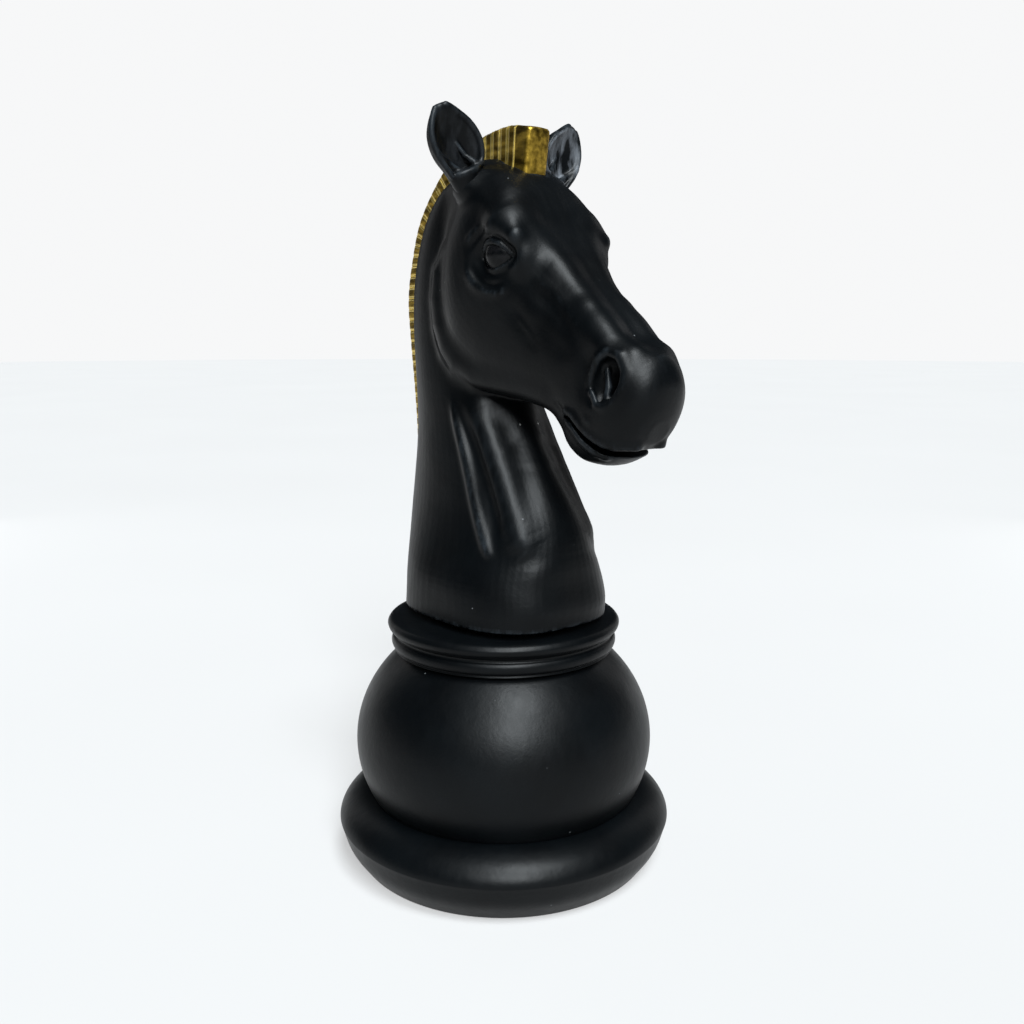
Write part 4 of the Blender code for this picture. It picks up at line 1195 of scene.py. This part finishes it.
def meshed(name, field, low, grain, finish):
    """A smooth mesh of a whole field, with its bend stored on the vertices."""
    points, triangles, quads = surfaced(field, low, grain)
    mesh = bpy.data.meshes.new(name)
    faces = [tuple(face[::-1]) for face in quads.tolist() + triangles.tolist()]
    mesh.from_pydata((points * MM).tolist(), [], faces)
    mesh.materials.append(finish)
    bend = bend_of(field, grain)[cells_of(points, low, grain, field.shape)]
    stored(mesh, "bend", bend)
    mesh.shade_smooth()
    return placed(name, mesh)


print("clay can be meshed")

# %% [markdown]
# The worked half is mirrored, with its middle layer used once, and becomes the bust. It stands
# for both halves of the moulding, whose seam was filled before painting.

# %% Bust
whole = np.concatenate((clay.field[:, :0:-1, :], clay.field), axis=1)
whole_low = LOW - np.array((0.0, GRAIN * (COUNT[1] - 1), 0.0))
bust = meshed("bust", whole, whole_low, GRAIN, black)
stands_for(bust, "bust_left_half", "bust_right_half")
print("bust faces:", len(bust.data.polygons))

# %% [markdown]
# ## Eyes
# The eyes are separate glossy balls that sit behind the lids. Only a sliver of each shows, but
# a whole ball gives that sliver the right round highlight.

# %% Eyes
for side, word in ((-1, "right"), (1, "left")):
    shape = bmesh.new()
    bmesh.ops.create_uvsphere(shape, u_segments=64, v_segments=40, radius=EYE_RADIUS * MM)
    middle = (EYE[0] * MM, side * EYE[1] * MM, EYE[2] * MM)
    bmesh.ops.translate(shape, verts=shape.verts, vec=middle)
    stands_for(added(word + "_eyeball", shape, eye_gloss), word + "_eye")
print("eyes set at", tuple(EYE))

# %% [markdown]
# ### Ear paint
# Broken grey streaks are painted into the hollow of the ears: painted light, as if light fell
# into the hollow, and far stronger in the left ear than in the right. A stretched noise breaks
# it into streaks, and a vertex value called inside says where the hollow is.

# %% Ear finish
EAR_HOLLOW_LIGHT = (0.12, 0.13, 0.145)
STREAK_GRAIN = 150  # to the metre


def ear_black_painted_light():
    """Satin black with broken grey painted light in the ear's hollow."""
    finish = satin_black("ear_black")
    tree = finish.node_tree
    socket = tree.nodes["Principled BSDF"].inputs["Base Color"]
    under = socket.links[0].from_socket
    place = tree.nodes.new("ShaderNodeTexCoord").outputs["Object"]
    streaking = noise(tree, place, STREAK_GRAIN, 5, (1.0, 1.0, 0.35))
    broken = ranged(tree, streaking, 0.42, 0.64, 0.0, 0.85)
    # painted light: grey streaks only where the hollow is
    share = both(tree, painted_value(tree, "inside"), broken)
    tree.links.new(mixed(tree, share, under, EAR_HOLLOW_LIGHT), socket)
    return finish


ear_black = ear_black_painted_light()
print("ear finish:", ear_black.name)

# %% [markdown]
# ## Ears
# Each ear is a pointed scoop with its own small block of finer clay, because its rims are thin.
# It is worked upright in its own frame, opening forward. A row of its table is the share of
# the height, half width, half depth, and how far the middle leans across.

# %% Sizes of an ear
EAR_GRAIN = 0.6
EAR_LOW = np.array((-22.0, -15.0, -7.0))
EAR_COUNT = np.round(np.array((44, 30, 64)) / EAR_GRAIN).astype(int) + 1
EAR_ROOT = np.array((6.5, 34.0, 277 + SEAT))
EAR_TIP = np.array((6.0, 53.6, 322.8 + SEAT))
EAR_LENGTH = float(np.linalg.norm(EAR_TIP - EAR_ROOT))
EAR_ROWS = (
    (-0.12, 6.5, 6.0, 0), (0.0, 8.4, 7.6, 0), (0.12, 10.8, 8.8, -0.8), (0.25, 14.0, 9.6, -1.8),
    (0.40, 17.0, 9.8, -1.6), (0.55, 17.4, 9.2, -0.8), (0.70, 15.4, 8.2, 0.2),
    (0.83, 11.2, 6.4, 1.0), (0.93, 6.8, 4.4, 1.2), (1.0, 2.4, 1.6, 1.2),
)
EAR_WALL = 2.4
SCOOP_AHEAD, SCOOP_START = 5.2, 0.17
print("ear length:", round(EAR_LENGTH), "mm")

# %% [markdown]
# The same table gives the outside and, shrunk and moved forward, the scoop that hollows it.
# Ropes make the two rims and the folds of gristle inside.

# %% Ear shape
def ear_rings(shrink, forward, start):
    """Level ovals up the ear, from this share of the height on."""
    rings = []
    for share, width, depth, lean in through(EAR_ROWS, 3):
        if share < start:
            continue
        size = np.array((max(width - shrink, 0.6), max(depth - shrink, 0.6)))
        angles = 2 * np.pi * np.arange(ROUND) / ROUND
        across, ahead = size[0] * np.cos(angles) + lean, size[1] * np.sin(angles) + forward
        rings.append(np.stack((across, ahead, np.full(ROUND, share * EAR_LENGTH)), axis=1))
    return rings


def ear_field():
    """The ear's clay, and the distances to its scoop."""
    block = (EAR_LOW, EAR_COUNT, EAR_GRAIN)
    scoop = level_set(*loft(ear_rings(EAR_WALL, SCOOP_AHEAD, SCOOP_START)[:-2]), *block)
    work = Clay(level_set(*loft(ear_rings(0.0, 0.0, -1.0)), *block), EAR_LOW, EAR_GRAIN)
    join(work, ..., scoop, 3.0, carve=True)
    outer_rim, inner_rim = [], []
    for share, width, depth, lean in through(EAR_ROWS, 2):
        if 0.16 < share < 0.97:
            height = share * EAR_LENGTH
            outer_rim.append((lean + width * 0.90, depth * 0.30, height, 1.5))
            inner_rim.append((lean - width * 0.90, depth * 0.30, height, 1.7))
    rope(work, outer_rim, 1.5)
    rope(work, inner_rim, 1.5)
    rope(work, [
        (14.5, 2.6, 26, 1.2), (11, 0.6, 20, 1.7), (6, 0.2, 14, 1.8), (2, 1.5, 9, 1.8),
    ], 2.0)
    rope(work, [
        (-3, -2.0, 25, 0.9), (-5, 0.0, 17, 1.7), (-8, 3.0, 11.5, 2.2), (-12, 3.4, 9.5, 2.0),
    ], 2.0)
    rope(work, [(2, -4.2, 40, 0.8), (1, -4.4, 30, 1.2), (0, -3.2, 18, 1.2)], 2.5)
    return work.field, scoop


ear_clay, ear_scoop = ear_field()
print("ear clay points:", ear_clay.size)

# %% [markdown]
# The ear's clay becomes a mesh twice. Each copy is turned from the ear's own frame to the
# head, and the right one is mirrored, so its faces are flipped to keep them facing out. The
# left ear gets far more of the painted light in its hollow than the right one.

# %% Ears in place
EAR_TURN = math.radians(8)
HOLLOW_LIGHT_SHARE = {"right": 0.07, "left": 1.0}
HOLLOW_LIGHT_FROM = 6.0  # millimetres above the root


def ear_axes():
    """Across, ahead and along, for an ear that leans out and turns a little to the side."""
    along = (EAR_TIP - EAR_ROOT) / EAR_LENGTH
    ahead = np.array((math.cos(EAR_TURN), math.sin(EAR_TURN), 0.0))
    ahead = ahead - along * (ahead @ along)
    ahead = ahead / np.linalg.norm(ahead)
    return np.stack((np.cross(along, ahead), ahead, along))


axes = ear_axes()
for side, word in ((-1, "right"), (1, "left")):
    made = meshed(word + "_ear_shape", ear_clay, EAR_LOW, EAR_GRAIN, ear_black)
    mesh = made.data
    places = np.zeros(len(mesh.vertices) * 3, np.float32)
    mesh.vertices.foreach_get("co", places)
    places = places.reshape(-1, 3) / MM
    depth = np.abs(ear_scoop[cells_of(places, EAR_LOW, EAR_GRAIN, ear_scoop.shape)])
    # how much painted light each point of the hollow gets, far more in the left ear
    inside = HOLLOW_LIGHT_SHARE[word] * np.clip(1.6 - depth, 0, 1) * (places[:, 2] > HOLLOW_LIGHT_FROM)
    stored(mesh, "inside", inside)
    world = EAR_ROOT + places @ axes
    world[:, 1] *= side
    mesh.vertices.foreach_set("co", (world * MM).astype(np.float32).ravel())
    if np.linalg.det(axes) * side < 0:
        mesh.flip_normals()
    mesh.update()
    stands_for(made, word + "_ear")
    print(word, "ear faces:", len(mesh.polygons))

# %% [markdown]
# ## Underside
# Nobody sees it in use, yet it is what makes the piece work: a moulded plate held by six
# screws, four rubber feet and a wider one that hides the clamping nut, and a threaded bush
# whose plug lets the sand in and out. The feet come first: small profiles spun about their
# own axes, with two grooves under each that keep them from slipping.

# %% Feet
FOOT_OUT = 51.6
FOOT_PLACES = [(FOOT_OUT * a, FOOT_OUT * b) for a, b in ((1, 1), (-1, 1), (-1, -1), (1, -1))]
FOOT = [
    (0, 0.7, 0), (3, 0.7, 0.3), (3.5, 0, 0.3), (5.2, 0, 0.3), (5.7, 0.8, 0.3), (6.3, 0.8, 0.3),
    (6.8, 0, 0.3), (8.2, 0, 0.6), (9.4, 1.2, 0.8), (10, 8.7, 0.5), (3, 8.7, 0), (3, 13.7, 0.5),
    (0, 13.7, 0),
]
for number, middle in enumerate(FOOT_PLACES, 1):
    foot = spun(f"rubber_foot_{number}_shape", filleted(FOOT), rubber, around=64, middle=middle)
    stands_for(foot, f"rubber_foot_{number}")
CAP = [
    (0, 0.8, 0), (9, 0.8, 0.3), (9.6, 0, 0.3), (12, 0, 0.3), (12.6, 0.8, 0.3), (14, 0.8, 0.3),
    (14.6, 0, 0.3), (18, 0, 0.6), (19.2, 1.0, 0.6), (20, 8.7, 0.5), (15.7, 8.7, 0.2),
    (15.7, 14.7, 0.4), (12.7, 14.7, 0.4), (12.7, 8.7, 0), (0, 8.7, 0),
]
stands_for(spun("centre_foot_shape", filleted(CAP), rubber, around=96), "centre_foot")
print("feet:", len(FOOT_PLACES) + 1)

# %% [markdown]
# ### Screws
# The plated screws have plain slots, which suit a wide blade or a coin. A thin box is taken
# away from the turned head with a boolean, as a saw would cut it.

# %% Slotted heads
SLOT_SHARP = math.radians(35)


def slotted(piece, middle, bottom, width, depth, length):
    """Cuts a straight slot across the underside of a head."""
    shape = bmesh.new()
    bmesh.ops.create_cube(shape, size=MM)
    bmesh.ops.scale(shape, vec=(length, width, 2 * depth), verts=shape.verts)
    bmesh.ops.translate(shape, vec=(middle[0] * MM, middle[1] * MM, bottom * MM), verts=shape.verts)
    saw = added("saw", shape, None)
    cut = piece.modifiers.new("slot", "BOOLEAN")
    cut.object = saw
    cut.operation = "DIFFERENCE"
    cut.solver = "EXACT"
    bpy.context.view_layer.update()
    seen = piece.evaluated_get(bpy.context.evaluated_depsgraph_get())
    piece.data = bpy.data.meshes.new_from_object(seen)
    piece.modifiers.clear()
    bpy.data.objects.remove(saw, do_unlink=True)
    piece.data.set_sharp_from_angle(angle=SLOT_SHARP)


SCREW_CIRCLE = 88.0
SCREWS = 6
SCREW = [
    (0, 6.3, 0), (2.6, 6.3, 0.4), (4, 7.3, 0.5), (4, 8.7, 0.2), (2, 8.7, 0), (2, 20.7, 0.4),
    (0, 22.7, 0),
]
for number in range(SCREWS):
    angle = 2 * math.pi / SCREWS * number
    middle = (SCREW_CIRCLE * math.cos(angle), SCREW_CIRCLE * math.sin(angle))
    screw = spun(f"base_screw_{number + 1}_shape", filleted(SCREW), zinc, around=48, middle=middle)
    slotted(screw, middle, bottom=6.3, width=1.2, depth=1.2, length=12)
    stands_for(screw, f"base_screw_{number + 1}")
print("screws:", SCREWS)

# %% [markdown]
# ### Filler
# The plated bush is fixed in the plate. The plug and its rubber ring ride on bodies of their
# own, because the plug turns as it comes out while the ring only travels with it. The thread
# is made of plain ridges and not a helix, which looks the same at every turn.

# %% Filler bush, ring and plug
FILLER = (-50.0, 0.0)
BUSH = [
    (14.8, 22.7, 0.5), (14.8, 8.7, 0), (18.3, 8.7, 0.2), (18.3, 7.0, 0.5), (11.3, 7.0, 0.4),
    (11.3, 22.7, 0.4),
]
stands_for(spun("filler_bush_shape", filleted(BUSH), zinc, 96, FILLER), "filler_bush")
RING_MIDDLE = (11.4, 5.7)
around_ring = [2 * math.pi * i / 16 for i in range(15, -1, -1)]
RING = [(RING_MIDDLE[0] + math.cos(a), RING_MIDDLE[1] + math.sin(a)) for a in around_ring]
stands_for(spun("plug_ring_shape", RING, rubber, 96, FILLER), "plug_o_ring", body="seal")
THREAD_ROOT, THREAD_CREST, THREAD_PITCH = 10.1, 11.0, 3.0
plug_side = [(0, 20.4, 0), (9.0, 20.4, 0.3)]
top = 18.9
while top - THREAD_PITCH > 7.0:
    plug_side += [(THREAD_ROOT, top, 0.2), (THREAD_CREST, top - THREAD_PITCH / 2, 0.2)]
    top -= THREAD_PITCH
plug_side += [
    (THREAD_ROOT, top, 0), (THREAD_ROOT, 4.4, 0.2), (15, 4.4, 0.5), (15, 1.8, 0.9), (0, 1.8, 0),
]
plug = spun("filler_plug_shape", filleted(plug_side), plate_plastic, 96, FILLER)
slotted(plug, FILLER, bottom=1.8, width=2.4, depth=1.5, length=22.5)
stands_for(plug, "filler_plug", body="plug")
print("thread crests:", sum(1 for corner in plug_side if corner[0] == THREAD_CREST))

# %% [markdown]
# ## Solids that stay
# The parts inside the moulding need no nicer shape, because nobody sees them: the rod, its
# nuts and washers, the pins, the sand and the foam. They keep their exact solids and only
# get a finish. The record says which slot each one belongs to, so a table from slot to
# finish covers them all.

# %% Finishes for the inner parts
FINISH_OF = {
    "black_paint": turned_black, "gold_paint": gold, "eye_gloss": eye_gloss, "zinc": zinc,
    "rubber": rubber, "plate_plastic": plate_plastic, "sand": sand, "foam": foam,
}
kept = sorted(name for name in frame["nodes"] if name not in remade)
for name in kept:
    node = frame["nodes"][name]
    node.data.materials.clear()
    node.data.materials.append(FINISH_OF[SLOT_OF[name]])
print("kept solids:", len(kept), kept)

# %% [markdown]
# ## Floor, light and camera
# A dark satin object is all about what it reflects. The floor is pale, and it gives off some
# light of its own so that shadows stay soft and the underside of the jaw is not lost.

# %% Floor
FLOOR_RADIUS = 14.0
FLOOR_GLOW = 0.45


def stage_floor():
    """A wide pale disc that glows a little."""
    finish, tree, shader, place = new_finish("studio_floor", roughness=0.75, level=0.2)
    cloud = noise(tree, place, 1.5, 2)
    colour = mixed(tree, cloud, (0.21, 0.21, 0.21), (0.23, 0.23, 0.23))
    tree.links.new(colour, shader.inputs["Base Color"])
    shader.inputs["Emission Color"].default_value = (1.0, 1.0, 1.0, 1.0)
    shader.inputs["Emission Strength"].default_value = FLOOR_GLOW
    shape = bmesh.new()
    bmesh.ops.create_circle(shape, cap_ends=True, segments=96, radius=FLOOR_RADIUS)
    added("floor", shape, finish)


stage_floor()
print("floor laid")

# %% [markdown]
# Two wide suns stand in for a pair of window panes, one high and one low. They are cool in
# colour and lie a little to the front of the horse, so they draw one broad sheen on the ball
# and one down the nose and the folds of the neck. Two tall lamps behind draw the outline.

# %% Lamps
AIM = Vector((0.0, 0.0, 0.25))
WINDOW = (0.91, 0.97, 1.0)
RIM_ELEVATION, RIM_DISTANCE, RIM_SIZE, RIM_POWER = 14, 1.5, (0.4, 1.4), 1.5


def towards(azimuth, elevation):
    """The direction to a lamp; azimuth 0 lies ahead of the horse, on the +X side."""
    a, e = math.radians(azimuth), math.radians(elevation)
    return Vector((math.cos(e) * math.cos(a), math.cos(e) * math.sin(a), math.sin(e)))


def hung(data, direction, distance=0.0):
    """A lamp this far out from the knight in a direction, facing back along it."""
    lamp = placed(data.name, data)
    lamp.location = AIM + distance * direction
    lamp.rotation_euler = (-direction).to_track_quat("-Z", "Y").to_euler()


for name, azimuth, elevation, width, strength in (
    ("key_high", -19, 62, 22, 4.8), ("key_low", -32, 36, 24, 4.6),
):
    pane = bpy.data.lights.new(name, "SUN")
    pane.angle = math.radians(width)
    pane.energy, pane.color = strength, WINDOW
    hung(pane, towards(azimuth, elevation))
for name, azimuth in (("rim_left", -174), ("rim_right", 92)):
    rim_lamp = bpy.data.lights.new(name, "AREA")
    rim_lamp.shape = "RECTANGLE"
    rim_lamp.size, rim_lamp.size_y = RIM_SIZE
    rim_lamp.energy = RIM_POWER
    hung(rim_lamp, towards(azimuth, RIM_ELEVATION), RIM_DISTANCE)
print("lamps:", len(bpy.data.lights))

# %% [markdown]
# The air round the stage is pale to look at, yet gives off little light of its own, so that
# the black stays black. A light path node tells the rays that draw the backdrop from the
# rays that light the object.

# %% Air
world = bpy.data.worlds.new("studio")
world.use_nodes = True
air = world.node_tree
pale = air.nodes["Background"]
pale.inputs["Color"].default_value = (0.93, 0.935, 0.94, 1.0)
dim = air.nodes.new("ShaderNodeBackground")
dim.inputs["Color"].default_value = (0.80, 0.88, 1.0, 1.0)
dim.inputs["Strength"].default_value = 0.04
path = air.nodes.new("ShaderNodeLightPath")
choose = air.nodes.new("ShaderNodeMixShader")
air.links.new(path.outputs["Is Camera Ray"], choose.inputs["Fac"])
air.links.new(dim.outputs["Background"], choose.inputs[1])
air.links.new(pale.outputs["Background"], choose.inputs[2])
air.links.new(choose.outputs["Shader"], air.nodes["World Output"].inputs["Surface"])
bpy.context.scene.world = world
print("air ready")

# %% [markdown]
# The camera stands to the front right of the horse at the height of its cheek, looks slightly
# down, and is close enough for the ball to look wider than the plinth's far side.

# %% Camera
camera_data = bpy.data.cameras.new("camera")
camera_data.lens = 35.2
camera_data.sensor_width = 36.0
camera = placed("camera", camera_data)
camera.location = (0.511, -0.429, 0.3577)
YAW, PITCH = 49.49, 10.1
gaze = towards(90 + YAW, -PITCH)
camera.rotation_euler = gaze.to_track_quat("-Z", "Y").to_euler()
bpy.context.scene.camera = camera
bpy.context.scene.view_settings.view_transform = "Standard"
print("camera at", tuple(round(value, 3) for value in camera.location))
